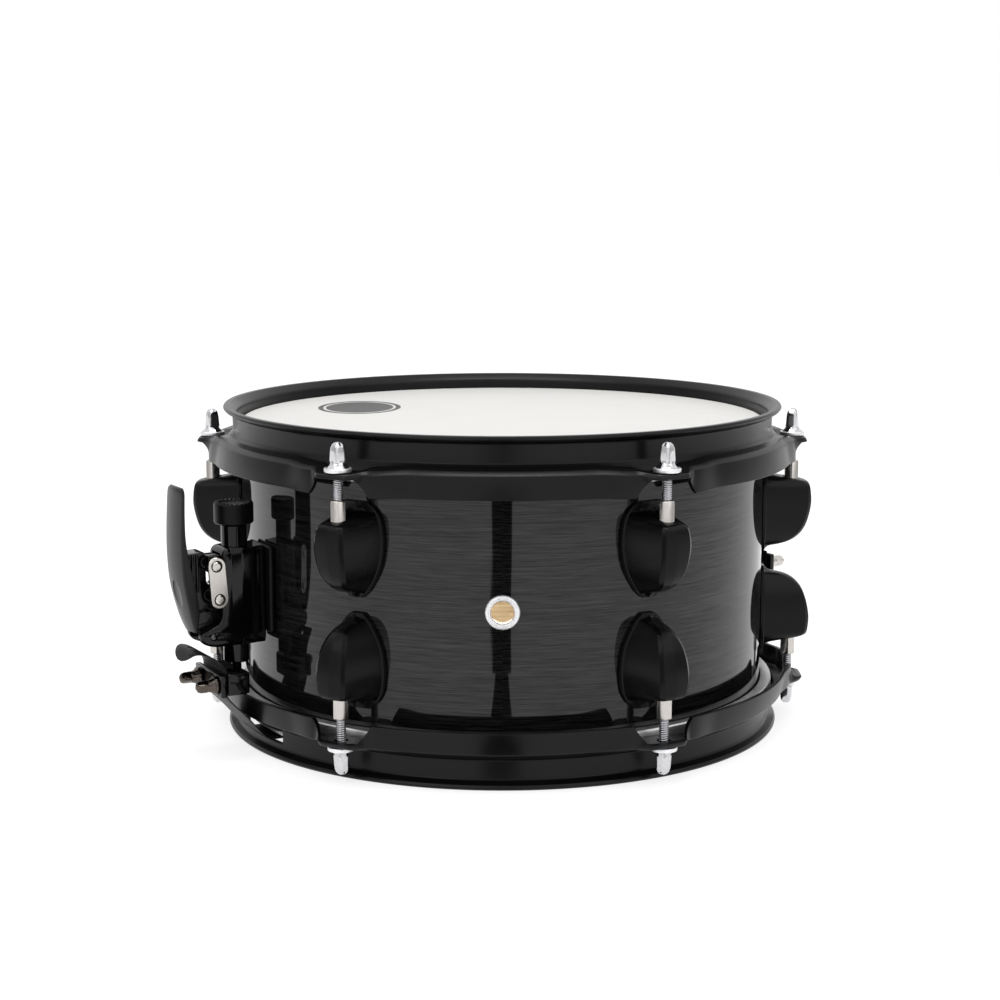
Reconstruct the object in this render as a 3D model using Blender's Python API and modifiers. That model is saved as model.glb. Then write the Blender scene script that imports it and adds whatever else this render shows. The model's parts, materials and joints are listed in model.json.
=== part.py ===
"""Ten-inch snare drum, 5.5 inches deep, with six lug stations a side, a throw-off and a butt end.

Metres, +Z up.  The drum stands on its snare-side hoop: the origin is on the drum's axis, in the plane it
rests on.  Azimuth 0 is the vent hole, which faces -Y, and azimuths grow towards +X.
A station is an empty on the drum's axis whose +X points outwards at the station's azimuth, so a piece
there is drawn with x = distance from the drum's axis, y = sideways, z = height from mid-depth.
"""
import math

import bmesh
import bpy
from mathutils import Matrix, Vector

# ---- driving dimensions ------------------------------------------------------------------------
MM = 0.001
GAP = 0.3 * MM

HALF_HEIGHT = 77.8 * MM          # mid-depth to the outer face of either hoop's lip
SHELL_RADIUS = 127.0 * MM
SHELL_WALL = 6.5 * MM
SHELL_HALF_DEPTH = 69.65 * MM
BEARING_EDGE_SETBACK = 1.6 * MM
FILM = 0.5 * MM
COLLAR_RADIUS = 127.4 * MM       # inside of the head's collar
FLESH_RADIUS = 132.8 * MM
FLESH_TOP = 60.8 * MM
FLESH_BOTTOM = 55.4 * MM

LUG_AZIMUTHS = (-30, 30, 90, 150, 210, 270)
ROD_CIRCLE = 141.8 * MM
ROD_RADIUS = 2.25 * MM
ROD_TIP = 24.0 * MM
WASHER_RADIUS = 6.1 * MM
WASHER_SEAT = 60.9 * MM
KEY_HEAD_TOP = 73.9 * MM
KEY_SQUARE = 5.0 * MM
NUT_RADIUS = 3.7 * MM
NUT_BORE = 2.5 * MM
NUT_TOP = 48.5 * MM
NUT_BOTTOM = 22.0 * MM
LUG_BORE = 4.05 * MM
LUG_BORE_END = 21.0 * MM
LUG_BACK = SHELL_RADIUS + 0.35 * MM
LUG_PLATE = 1.7 * MM             # thickness of the foot that lies on the shell
LUG_RIDGE = 0.6 * MM             # how far the outer face is crowned

EAR_HALF_ANGLE = math.radians(4.4)
EAR_EDGE_ANGLE = math.radians(5.8)
FLARE_ANGLE = math.radians(14.0)
EAR_UNDERSIDE = 57.9 * MM
EAR_HOLE = 3.1 * MM
ROUND_STEPS = 72

VENT_FLANGE = 7.9 * MM
VENT_BORE = 4.95 * MM
VENT_SLEEVE = 5.7 * MM

THROW_OFF_AZIMUTH = -60
BUTT_AZIMUTH = 120
POST_CIRCLE = 142.0 * MM
POST_RADIUS = 6.0 * MM
POST_BORE = 6.4 * MM
POST_TOP = 29.2 * MM
POST_BOTTOM = -34.8 * MM
SPINDLE_RADIUS = 2.2 * MM
SPINDLE_BORE = 2.7 * MM
KNOB_RADIUS = 9.1 * MM
KNOB_BOTTOM = 29.7 * MM
KNOB_TOP = 39.7 * MM
HOUSING_BACK = 130.3 * MM
HOUSING_FACE = 151.6 * MM
HOUSING_LIP = 163.0 * MM
HOUSING_TOP = 19.5 * MM
HOUSING_BOTTOM = -25.8 * MM
LIP_TOP = -16.0 * MM
HOUSING_HALF_WIDTH = 9.5 * MM
LEVER_PIVOT = (156.5 * MM, -20.5 * MM)
ARM_PIN = (155.3 * MM, 12.4 * MM)    # link pivot on the carriage's arm
LEVER_PIN = (154.1 * MM, -3.1 * MM)  # link pivot on the lever
LINK_FACE = 10.1 * MM
LINK_THICKNESS = 1.2 * MM
WEB_HALF_WIDTH = 5.2 * MM

CLAMP_TOP = -37.5 * MM
CLAMP_HEIGHT = 10.5 * MM
BUTT_CLAMP_TOP = -10.7 * MM
CLAMP_BACK = 141.1 * MM
CLAMP_FACE = 152.3 * MM
PLATE_BACK = 153.5 * MM
PLATE_FACE = 156.2 * MM
PLATE_HALF_WIDTH = 16.0 * MM
BLOCK_HALF_WIDTH = 13.6 * MM
SCREW_SPREAD = 10.0 * MM
SCREW_SHANK = 1.9 * MM
SCREW_TIP = 145.0 * MM
STRAP_LINE = 152.9 * MM
STRAP_THICKNESS = 0.6 * MM
STRAP_HALF_WIDTH = 13.5 * MM
STRAP_UNDER_HEAD = -71.05 * MM
STRAP_INNER_END = 93.0 * MM

GATE_HALF_WIDTH = 21.5 * MM
GATE_TOP = 66.2 * MM
GATE_BOTTOM = 72.0 * MM
STRAND_COUNT = 20
STRAND_RADIUS = 0.8 * MM
STRAND_PITCH = 1.95 * MM
STRAND_HEIGHT = -72.55 * MM
SNARE_HALF_LENGTH = 104.0 * MM
SNARE_PLATE_LENGTH = 11.0 * MM

# One lug, as level sections from its hoop end to its tip: height, half width of the foot, half width
# where the body leaves the foot, half width of the outer face, and how far the outer face stands out.
LUG_SECTIONS = [
    (46.4, 6.5, 5.6, 3.4, 129.2),
    (42.4, 11.3, 10.0, 6.0, 129.4),
    (41.9, 11.6, 10.2, 6.2, 131.6),
    (38.6, 13.2, 11.7, 6.8, 149.4),
    (37.0, 13.6, 12.1, 7.0, 150.7),
    (28.0, 14.5, 13.0, 7.1, 151.6),
    (20.0, 13.5, 12.0, 6.6, 150.0),
    (14.0, 11.2, 9.8, 5.4, 147.4),
    (9.5, 8.5, 7.2, 4.0, 143.2),
    (7.0, 6.8, 5.6, 3.0, 136.4),
    (6.2, 6.3, 5.1, 2.6, 129.8),
    (3.6, 3.4, 2.7, 1.5, 129.2),
]

# The lever's handle from its free end down: height, how far its outer and inner faces stand from the
# drum's axis, and half its width.
HANDLE_SECTIONS = [
    (48.6, 170.4, 169.2, 7.6),
    (47.4, 170.9, 169.1, 9.4),
    (44.0, 171.2, 169.2, 10.0),
    (36.0, 171.7, 169.4, 10.0),
    (24.5, 172.2, 169.3, 10.0),
    (13.5, 172.0, 167.4, 10.0),
    (3.0, 171.1, 164.6, 10.0),
    (-8.0, 168.5, 162.9, 9.0),
    (-14.0, 167.3, 163.3, 8.0),
    (-17.6, 166.3, 164.3, 6.8),
]

# The web behind the handle, as (distance from the drum's axis, height).
LEVER_WEB = [(166.4, 18.4), (157.3, 18.8), (157.3, 3.6), (152.0, 1.6), (152.0, -7.6),
             (153.4, -14.0), (153.0, -18.0), (160.2, -18.0), (165.2, -13.2), (168.0, -6.0),
             (170.0, 6.0)]


# ---- scene and helpers ---------------------------------------------------------------------------
for old in list(bpy.data.objects):
    bpy.data.objects.remove(old)

drum = bpy.data.collections.new("snare_drum")
cutters = bpy.data.collections.new("cutters")
bpy.context.scene.collection.children.link(drum)
bpy.context.scene.collection.children.link(cutters)


def material(name, colour, roughness, metallic):
    made = bpy.data.materials.new(name)
    made.use_nodes = True
    shader = made.node_tree.nodes["Principled BSDF"]
    shader.inputs["Base Color"].default_value = (*colour, 1.0)
    shader.inputs["Roughness"].default_value = roughness
    shader.inputs["Metallic"].default_value = metallic
    return made


LACQUER = material("shell_lacquer", (0.035, 0.036, 0.040), 0.22, 0.0)
BLACK_STEEL = material("black_steel", (0.018, 0.018, 0.020), 0.38, 0.6)
BLACK_CAST = material("black_cast", (0.010, 0.010, 0.011), 0.40, 0.3)
BLACK_MOULDED = material("black_moulded", (0.012, 0.012, 0.012), 0.50, 0.0)
CHROME = material("chrome", (0.80, 0.80, 0.82), 0.12, 1.0)
NICKEL = material("nickel", (0.72, 0.70, 0.67), 0.25, 1.0)
HEAD_FILM = material("head_film", (0.86, 0.86, 0.85), 0.45, 0.0)
STRAP_BLACK = material("strap_black", (0.015, 0.015, 0.016), 0.60, 0.0)
WIRE_STEEL = material("wire_steel", (0.60, 0.60, 0.62), 0.30, 1.0)


def empty(name, location, turn=0.0, parent=None):
    made = bpy.data.objects.new(name, None)
    made.location = location
    made.rotation_euler = (0.0, 0.0, turn)
    made.parent = parent
    drum.objects.link(made)
    return made


def add(name, mesh, finish, parent, location=(0, 0, 0)):
    """A sub-part: its own object in the drum's collection."""
    made = bpy.data.objects.new(name, mesh)
    if not mesh.materials:
        mesh.materials.append(finish)
    made.parent = parent
    made.location = location
    drum.objects.link(made)
    return made


def cut(piece, mesh, location=(0, 0, 0), operation="DIFFERENCE"):
    """A Boolean on the piece by a mesh drawn in the frame that the piece is placed in."""
    cutter = bpy.data.objects.new(piece.name + "_cutter", mesh)
    cutter.parent = piece.parent
    cutter.location = location
    cutter.display_type = "WIRE"
    cutter.hide_render = True
    cutters.objects.link(cutter)
    boolean = piece.modifiers.new("cut", "BOOLEAN")
    boolean.operation = operation
    boolean.object = cutter


def mesh_of(bm, name, smooth=True):
    mesh = bpy.data.meshes.new(name)
    bmesh.ops.recalc_face_normals(bm, faces=bm.faces)
    bm.to_mesh(mesh)
    bm.free()
    if smooth:
        mesh.shade_smooth()
        mesh.set_sharp_from_angle(angle=math.radians(35))
    return mesh


def add_box(bm, low, high, bevel=0.0):
    size = Vector(high) - Vector(low)
    centre = (Vector(high) + Vector(low)) / 2
    made = bmesh.ops.create_cube(bm, size=1.0, matrix=Matrix.LocRotScale(centre, None, size))
    if bevel:
        edges = {edge for vert in made["verts"] for edge in vert.link_edges}
        bmesh.ops.bevel(bm, geom=list(edges), offset=bevel, segments=2, profile=0.5, affect="EDGES")


def box_mesh(name, low, high, bevel=0.0):
    bm = bmesh.new()
    add_box(bm, low, high, bevel)
    return mesh_of(bm, name)


def add_rod(bm, start, end, radius, sides=16, tip_radius=None):
    """A straight round bar between two points, tapering if tip_radius is given."""
    start, end = Vector(start), Vector(end)
    turn = (end - start).to_track_quat("Z", "Y").to_matrix().to_4x4()
    place = Matrix.Translation((start + end) / 2) @ turn
    tip = radius if tip_radius is None else tip_radius
    bmesh.ops.create_cone(bm, cap_ends=True, segments=sides, radius1=radius, radius2=tip,
                          depth=(end - start).length, matrix=place)


def rod_mesh(name, start, end, radius, sides=16):
    bm = bmesh.new()
    add_rod(bm, start, end, radius, sides)
    return mesh_of(bm, name)


def turned(name, profile, finish, parent, steps, location=(0, 0, 0), closed=False):
    """A profile of (radius, height) points, outer side from top to bottom, turned about Z."""
    edges = [(i, i + 1) for i in range(len(profile) - 1)]
    if closed:
        edges.append((len(profile) - 1, 0))
    mesh = bpy.data.meshes.new(name)
    mesh.from_pydata([(radius, 0.0, height) for radius, height in profile], edges, [])
    piece = add(name, mesh, finish, parent, location)
    screw = piece.modifiers.new("turn", "SCREW")
    screw.steps = steps
    screw.render_steps = steps
    screw.use_merge_vertices = True
    screw.merge_threshold = 0.00001
    screw.use_smooth_shade = True
    return piece


def flat_shape(name, outline, low, high):
    """A flat outline of (distance, height) points, in mm, standing in the XZ plane from y low to high."""
    curve = bpy.data.curves.new(name, "CURVE")
    curve.dimensions = "2D"
    curve.fill_mode = "BOTH"
    curve.extrude = (high - low) / 2
    line = curve.splines.new("POLY")
    line.points.add(len(outline) - 1)
    line.use_cyclic_u = True
    for point, (distance, height) in zip(line.points, outline):
        point.co = (distance * MM, height * MM, 0.0, 1.0)
    guide = bpy.data.objects.new(name, curve)
    drum.objects.link(guide)
    bpy.context.view_layer.update()
    evaluated = guide.evaluated_get(bpy.context.evaluated_depsgraph_get())
    mesh = bpy.data.meshes.new_from_object(evaluated)
    bpy.data.objects.remove(guide)
    bm = bmesh.new()
    bm.from_mesh(mesh)
    bmesh.ops.remove_doubles(bm, verts=bm.verts, dist=0.00001)
    stand = Matrix.Translation((0, (low + high) / 2, 0)) @ Matrix.Rotation(math.pi / 2, 4, "X")
    bmesh.ops.transform(bm, matrix=stand, verts=bm.verts)
    return mesh_of(bm, name)


def smooth_path(points, per_span):
    """Points on a Catmull-Rom curve through the given ones."""
    ends = [points[0]] + list(points) + [points[-1]]
    path = []
    for a, b, c, d in zip(ends, ends[1:], ends[2:], ends[3:]):
        for step in range(per_span):
            t = step / per_span
            path.append(tuple(
                0.5 * (2 * q + (r - p) * t + (2 * p - 5 * q + 4 * r - s) * t * t
                       + (3 * q - p - 3 * r + s) * t ** 3)
                for p, q, r, s in zip(a, b, c, d)))
    path.append(tuple(points[-1]))
    return path


def loft(name, rings, cyclic=False):
    """A skin over matching rings of points: closed on itself if cyclic, or else capped at both ends."""
    bm = bmesh.new()
    made = [[bm.verts.new(point) for point in ring] for ring in rings]
    following = made[1:] + made[:1] if cyclic else made[1:]
    for first, second in zip(made, following):
        for i in range(len(first)):
            j = (i + 1) % len(first)
            bm.faces.new((first[i], first[j], second[j], second[i]))
    if not cyclic:
        bm.faces.new(made[0])
        bm.faces.new(made[-1][::-1])
    return mesh_of(bm, name)


def outwards(azimuth):
    """The turn about Z that points +X outwards at an azimuth."""
    return math.radians(azimuth - 90)


centre = empty("drum_centre", (0, 0, HALF_HEIGHT))
stations = [empty(f"station_{i + 1}", (0, 0, 0), outwards(azimuth), centre)
            for i, azimuth in enumerate(LUG_AZIMUTHS)]
throw_off_station = empty("throw_off_station", (0, 0, 0), outwards(THROW_OFF_AZIMUTH), centre)
butt_station = empty("butt_station", (0, 0, 0), outwards(BUTT_AZIMUTH), centre)


# ---- shell, vent and heads -------------------------------------------------------------------------
def make_shell():
    inner = SHELL_RADIUS - SHELL_WALL
    peak = SHELL_RADIUS - BEARING_EDGE_SETBACK
    shoulder = SHELL_HALF_DEPTH - BEARING_EDGE_SETBACK
    inner_edge = SHELL_HALF_DEPTH - (peak - inner)
    profile = [(peak, SHELL_HALF_DEPTH), (SHELL_RADIUS, shoulder), (SHELL_RADIUS, -shoulder),
               (peak, -SHELL_HALF_DEPTH), (inner, -inner_edge), (inner, inner_edge)]
    shell = turned("shell", profile, LACQUER, centre, ROUND_STEPS, closed=True)
    vent_hole = rod_mesh("vent_hole", (0, -SHELL_RADIUS - 5 * MM, 0), (0, -inner + 5 * MM, 0),
                         VENT_SLEEVE + GAP, 20)
    cut(shell, vent_hole)


def make_vent():
    """A grommet with a flange outside the shell and a smaller one inside, turned about -Y."""
    outside = SHELL_RADIUS + GAP
    inside = SHELL_RADIUS - SHELL_WALL - 0.6 * MM
    flange = outside + 1.3 * MM
    profile = [(VENT_BORE, flange), (VENT_FLANGE - 0.8 * MM, flange), (VENT_FLANGE, outside + 0.6 * MM),
               (VENT_FLANGE, outside), (VENT_SLEEVE, outside), (VENT_SLEEVE, inside),
               (VENT_SLEEVE + 1.3 * MM, inside), (VENT_SLEEVE + 1.3 * MM, inside - 0.9 * MM),
               (VENT_BORE, inside - 0.9 * MM)]
    vent = turned("vent_grommet", profile, CHROME, centre, 20, closed=True)
    vent.rotation_euler = (math.pi / 2, 0, 0)


def make_head(name, side):
    """A film with its collar, bonded into the flesh hoop that the counter-hoop pulls on."""
    outer_collar = COLLAR_RADIUS + FILM
    over = SHELL_HALF_DEPTH + GAP
    outer_skin = [(0, over + FILM), (126.0 * MM, over + FILM), (outer_collar, 69.0 * MM),
                  (outer_collar, FLESH_TOP), (FLESH_RADIUS, FLESH_TOP), (FLESH_RADIUS, FLESH_BOTTOM)]
    inner_skin = [(COLLAR_RADIUS, FLESH_BOTTOM), (COLLAR_RADIUS, 68.8 * MM), (125.8 * MM, over), (0, over)]
    profile = outer_skin + inner_skin
    if side < 0:
        profile = [(radius, -height) for radius, height in reversed(profile)]
    return turned(name, profile, HEAD_FILM, centre, ROUND_STEPS)


# ---- counter-hoops ---------------------------------------------------------------------------------
def hoop_section(plate, flare):
    """The pressed hoop's section, in mm: plate is 1 across an ear, and flare is 1 where a skirt meets it."""
    return [
        (132.2, 77.8), (134.6, 77.8), (135.3, 76.7), (134.4, 75.6), (130.9, 74.2),
        (130.6, 65.4),
        (132.2 + 0.8 * flare + 2.0 * plate, 64.0 - 1.2 * flare - 2.1 * plate),
        (136.6 + 3.6 * flare + 7.6 * plate, 62.4 - 0.9 * flare - 0.9 * plate),
        (138.0 + 3.6 * flare + 7.0 * plate, 60.4 - 0.6 * flare - 1.0 * plate),
        (140.2 + 2.4 * flare - 0.8 * plate, 50.9 - 0.6 * flare - 0.6 * plate),
        (138.0 + 2.4 * flare - 0.8 * plate, 50.9 - 0.6 * flare - 0.6 * plate),
        (135.7 + 3.6 * flare + 7.0 * plate, 59.8 - 0.6 * flare - 0.9 * plate),
        (134.6 - 0.2 * flare - 0.2 * plate, 60.8 - 0.9 * flare - 1.4 * plate),
        (133.3, 61.15),
        (128.3, 62.6), (128.3, 74.6),
    ]


def share(angle, full, none):
    """1 within one angle of the nearest lug station, and easing to 0 at a wider angle."""
    fade = min(max((none - abs(angle)) / (none - full), 0.0), 1.0)
    return fade * fade * (3 - 2 * fade)


def ring_turns():
    """Turns round a hoop, with a lug station at 0: close together at each ear and wider apart between."""
    one_side = [2.2, 4.4, 5.0, 5.8, 8.0, 11.0, 14.0, 19.5, 25.0]
    sector = 360 / len(LUG_AZIMUTHS)
    offsets = [0.0] + one_side + [sector / 2] + [sector - angle for angle in reversed(one_side)]
    return [math.radians(number * sector + offset)
            for number in range(len(LUG_AZIMUTHS)) for offset in offsets]


def make_hoop(name, side):
    """A triple-flanged hoop: side is 1 for the batter side, and -1 for the snare side."""
    sector = 2 * math.pi / len(LUG_AZIMUTHS)
    rings = []
    for turn in ring_turns():
        from_ear = (turn + sector / 2) % sector - sector / 2
        section = hoop_section(share(from_ear, EAR_HALF_ANGLE, EAR_EDGE_ANGLE),
                               share(from_ear, EAR_EDGE_ANGLE, FLARE_ANGLE))
        rings.append([(r * MM * math.cos(turn), r * MM * math.sin(turn), side * z * MM)
                      for r, z in section])
    hoop = add(name, loft(name, rings, cyclic=True), BLACK_STEEL, centre)

    holes = bmesh.new()
    notches = bmesh.new()
    for azimuth in LUG_AZIMUTHS:
        place = Matrix.Rotation(outwards(azimuth), 4, "Z")
        at = ROD_CIRCLE
        add_rod(holes, place @ Vector((at, 0, side * 54 * MM)), place @ Vector((at, 0, side * 68 * MM)),
                EAR_HOLE, 14)
        add_notch(notches, place, side)
    cut(hoop, mesh_of(notches, name + "_notches"))
    cut(hoop, mesh_of(holes, name + "_holes"))
    return hoop


def add_notch(bm, place, side):
    """The opening under an ear, wider towards the skirt's edge, through which the rod is seen."""
    near, far = 133.7 * MM, 160 * MM
    top, edge = side * EAR_UNDERSIDE, side * 44 * MM
    outline = [(-8.5 * MM, top), (8.5 * MM, top), (21.0 * MM, edge), (-21.0 * MM, edge)]
    inner = [bm.verts.new(place @ Vector((near, y, z))) for y, z in outline]
    outer = [bm.verts.new(place @ Vector((far, y, z))) for y, z in outline]
    bm.faces.new(inner)
    bm.faces.new(outer[::-1])
    for i in range(4):
        j = (i + 1) % 4
        bm.faces.new((inner[j], inner[i], outer[i], outer[j]))


def cut_gates(hoop):
    """Windows in the wall, where the straps run in under the snare-side head."""
    windows = bmesh.new()
    add_box(windows, (-150 * MM, -GATE_HALF_WIDTH, -GATE_BOTTOM), (150 * MM, GATE_HALF_WIDTH, -GATE_TOP))
    bmesh.ops.transform(windows, matrix=Matrix.Rotation(outwards(THROW_OFF_AZIMUTH), 4, "Z"),
                        verts=windows.verts)
    cut(hoop, mesh_of(windows, "gate_windows"))


# ---- lugs, swivel nuts and tension rods --------------------------------------------------------------
def lug_ring(height, foot, waist, face, stand, side):
    """One level section of a lug: foot against the shell, sloping sides and a crowned outer face."""
    def on_shell(width):
        return math.sqrt(LUG_BACK ** 2 - width ** 2)

    foot, waist, face, stand = foot * MM, waist * MM, face * MM, stand * MM
    plate = on_shell(foot) + LUG_PLATE
    right = [(on_shell(foot), foot), (plate, foot), (on_shell(waist) + LUG_PLATE + 0.1 * MM, waist),
             (stand - LUG_RIDGE, face)]
    left = [(x, -y) for x, y in reversed(right)]
    ring = [(LUG_BACK, 0.0)] + right + [(stand, 0.0)] + left
    return [(x, y, side * height * MM) for x, y in ring]


def make_lug_mesh(side):
    rings = [lug_ring(*section, side) for section in LUG_SECTIONS]
    return loft("lug", rings)


def make_rod_mesh(side):
    """A tension rod with its washer and its square key head: the shank runs back towards mid-depth."""
    bm = bmesh.new()
    profile = [(ROD_RADIUS, ROD_TIP), (ROD_RADIUS, WASHER_SEAT), (WASHER_RADIUS, WASHER_SEAT),
               (WASHER_RADIUS, 62.8 * MM), (4.8 * MM, 63.1 * MM), (3.4 * MM, 65.0 * MM)]
    sides = 12
    rings = []
    for radius, height in profile:
        rings.append([(radius * math.cos(2 * math.pi * k / sides),
                       radius * math.sin(2 * math.pi * k / sides),
                       side * (height - WASHER_SEAT)) for k in range(sides)])
    made = [[bm.verts.new(point) for point in ring] for ring in rings]
    for first, second in zip(made, made[1:]):
        for k in range(sides):
            j = (k + 1) % sides
            bm.faces.new((first[k], first[j], second[j], second[k]))
    bm.faces.new(made[0])
    bm.faces.new(made[-1][::-1])
    return mesh_of(bm, "tension_rod")


def make_key_head_mesh(side):
    half = KEY_SQUARE / 2
    low, high = sorted((side * (64.5 * MM - WASHER_SEAT), side * (KEY_HEAD_TOP - WASHER_SEAT)))
    return box_mesh("key_head", (-half, -half, low), (half, half, high), 0.7 * MM)


def make_nut_mesh(side):
    """A hexagonal swivel nut: it is held in the lug, and the rod screws into it."""
    bm = bmesh.new()
    add_rod(bm, (0, 0, 0), (0, 0, side * (NUT_BOTTOM - NUT_TOP)), NUT_RADIUS, 6)
    flat_outwards = Matrix.Rotation(math.pi / 6, 4, "Z")
    bmesh.ops.transform(bm, matrix=flat_outwards, verts=bm.verts)
    return mesh_of(bm, "swivel_nut")


def make_lug_stations():
    for side, prefix in ((1, "batter"), (-1, "snare_side")):
        lug_mesh = make_lug_mesh(side)
        bore = rod_mesh("lug_bore", (ROD_CIRCLE, 0, side * 55 * MM), (ROD_CIRCLE, 0, side * LUG_BORE_END),
                        LUG_BORE, 14)
        rod_body = make_rod_mesh(side)
        key_head = make_key_head_mesh(side)
        nut_body = make_nut_mesh(side)
        nut_bore = rod_mesh("nut_bore", (0, 0, side * 5 * MM), (0, 0, -side * 40 * MM), NUT_BORE, 12)
        for number, station in enumerate(stations, start=1):
            lug = add(f"{prefix}_lug_{number}", lug_mesh, BLACK_CAST, station)
            cut(lug, bore)
            nut_place = (ROD_CIRCLE, 0, side * NUT_TOP)
            nut = add(f"{prefix}_swivel_nut_{number}", nut_body, NICKEL, station, nut_place)
            cut(nut, nut_bore, nut_place)
            rod_place = (ROD_CIRCLE, 0, side * WASHER_SEAT)
            rod = add(f"{prefix}_tension_rod_{number}", rod_body, CHROME, station, rod_place)
            cut(rod, key_head, rod_place, "UNION")


# ---- throw-off -----------------------------------------------------------------------------------
def make_throw_off_body():
    station = throw_off_station
    add("throw_off_base_plate",
        box_mesh("throw_off_base_plate", (127.35 * MM, -13 * MM, -23 * MM), (130.0 * MM, 13 * MM, 21 * MM),
                 0.8 * MM), BLACK_MOULDED, station)

    half = HOUSING_HALF_WIDTH
    body = box_mesh("throw_off_housing", (HOUSING_BACK, -half, HOUSING_BOTTOM),
                    (HOUSING_FACE, half, HOUSING_TOP), 2.0 * MM)
    housing = add("throw_off_housing", body, BLACK_CAST, station)
    lip = box_mesh("housing_lip", (145 * MM, -half, HOUSING_BOTTOM), (HOUSING_LIP, half, LIP_TOP), 1.5 * MM)
    cut(housing, lip, operation="UNION")
    lever_slot = box_mesh("lever_slot", (HOUSING_FACE + 0.1 * MM, -5.6 * MM, HOUSING_BOTTOM - 5 * MM),
                          (HOUSING_LIP + 5 * MM, 5.6 * MM, LIP_TOP + 5 * MM))
    cut(housing, lever_slot)
    arm_slot = box_mesh("arm_slot", (POST_CIRCLE, -5.0 * MM, -1.5 * MM),
                        (HOUSING_FACE + 5 * MM, 5.0 * MM, 17.0 * MM))
    cut(housing, arm_slot)
    post_bore = rod_mesh("post_bore", (POST_CIRCLE, 0, -40 * MM), (POST_CIRCLE, 0, 30 * MM), POST_BORE, 20)
    cut(housing, post_bore)
    x, z = LEVER_PIVOT
    cut(housing, rod_mesh("pin_hole", (x, -12 * MM, z), (x, 12 * MM, z), 1.8 * MM, 12))
    add("lever_pivot_pin", rod_mesh("lever_pivot_pin", (0, -9.2 * MM, 0), (0, 9.2 * MM, 0), 1.5 * MM, 12),
        CHROME, station, (x, 0, z))


def make_carriage():
    """The post that slides in the housing, with the arm that the link pulls on."""
    station = throw_off_station
    place = (POST_CIRCLE, 0, 0)
    post = add("throw_off_post",
               rod_mesh("throw_off_post", (0, 0, POST_BOTTOM), (0, 0, POST_TOP), POST_RADIUS, 20),
               BLACK_CAST, station, place)
    arm = box_mesh("post_arm", (3 * MM, -4.6 * MM, 8.4 * MM), (156.7 * MM - POST_CIRCLE, 4.6 * MM, 16.2 * MM),
                   0.8 * MM)
    cut(post, arm, place, "UNION")
    x, z = ARM_PIN
    pin = rod_mesh("arm_pin", (x - POST_CIRCLE, 0, z), (x - POST_CIRCLE, LINK_FACE - GAP, z), 1.3 * MM, 12)
    cut(post, pin, place, "UNION")
    spindle_bore = rod_mesh("spindle_bore", (0, 0, POST_BOTTOM - 5 * MM), (0, 0, POST_TOP + 5 * MM),
                            SPINDLE_BORE, 14)
    cut(post, spindle_bore, place)


def make_knob():
    """The fine-tension knob on its spindle, which runs down through the post into the clamp block."""
    low = CLAMP_TOP - 3 * MM
    profile = [(0, KNOB_TOP), (KNOB_RADIUS - 1 * MM, KNOB_TOP), (KNOB_RADIUS, KNOB_TOP - 1 * MM),
               (KNOB_RADIUS, KNOB_BOTTOM + 0.6 * MM), (KNOB_RADIUS - 0.6 * MM, KNOB_BOTTOM),
               (SPINDLE_RADIUS, KNOB_BOTTOM), (SPINDLE_RADIUS, low), (0, low)]
    turned("tension_knob", profile, BLACK_MOULDED, throw_off_station, 20, (POST_CIRCLE, 0, 0))


def handle_ring(height, outer, inner, half):
    """One level section of the handle: flat inside, with a crowned and rounded outer face."""
    right = [(outer, half - 1.8), (outer - 0.9, half), (inner, half)]
    left = [(x, -y) for x, y in reversed(right)]
    return [(x * MM, y * MM, height * MM) for x, y in [(outer + 0.4, 0.0)] + right + left]


def make_lever():
    """A bowed handle with a web that reaches in to the link, hinged on the housing's lip."""
    pivot_x, pivot_z = LEVER_PIVOT
    to_pivot = Matrix.Translation((-pivot_x, 0, -pivot_z))
    handle = loft("throw_off_lever", [handle_ring(*section) for section in HANDLE_SECTIONS])
    handle.transform(to_pivot)
    place = (pivot_x, 0, pivot_z)
    lever = add("throw_off_lever", handle, BLACK_CAST, throw_off_station, place)
    web = flat_shape("lever_web", LEVER_WEB, -WEB_HALF_WIDTH, WEB_HALF_WIDTH)
    web.transform(to_pivot)
    cut(lever, web, place, "UNION")
    boss = rod_mesh("lever_boss", (0, -WEB_HALF_WIDTH, 0), (0, WEB_HALF_WIDTH, 0), 4.2 * MM, 16)
    cut(lever, boss, place, "UNION")
    x, z = LEVER_PIN[0] - pivot_x, LEVER_PIN[1] - pivot_z
    pin = rod_mesh("lever_pin", (x, 0, z), (x, LINK_FACE - GAP, z), 1.3 * MM, 12)
    cut(lever, pin, place, "UNION")
    hole = rod_mesh("lever_pin_hole", (0, -12 * MM, 0), (0, 12 * MM, 0), 1.8 * MM, 12)
    cut(lever, hole, place)


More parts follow.
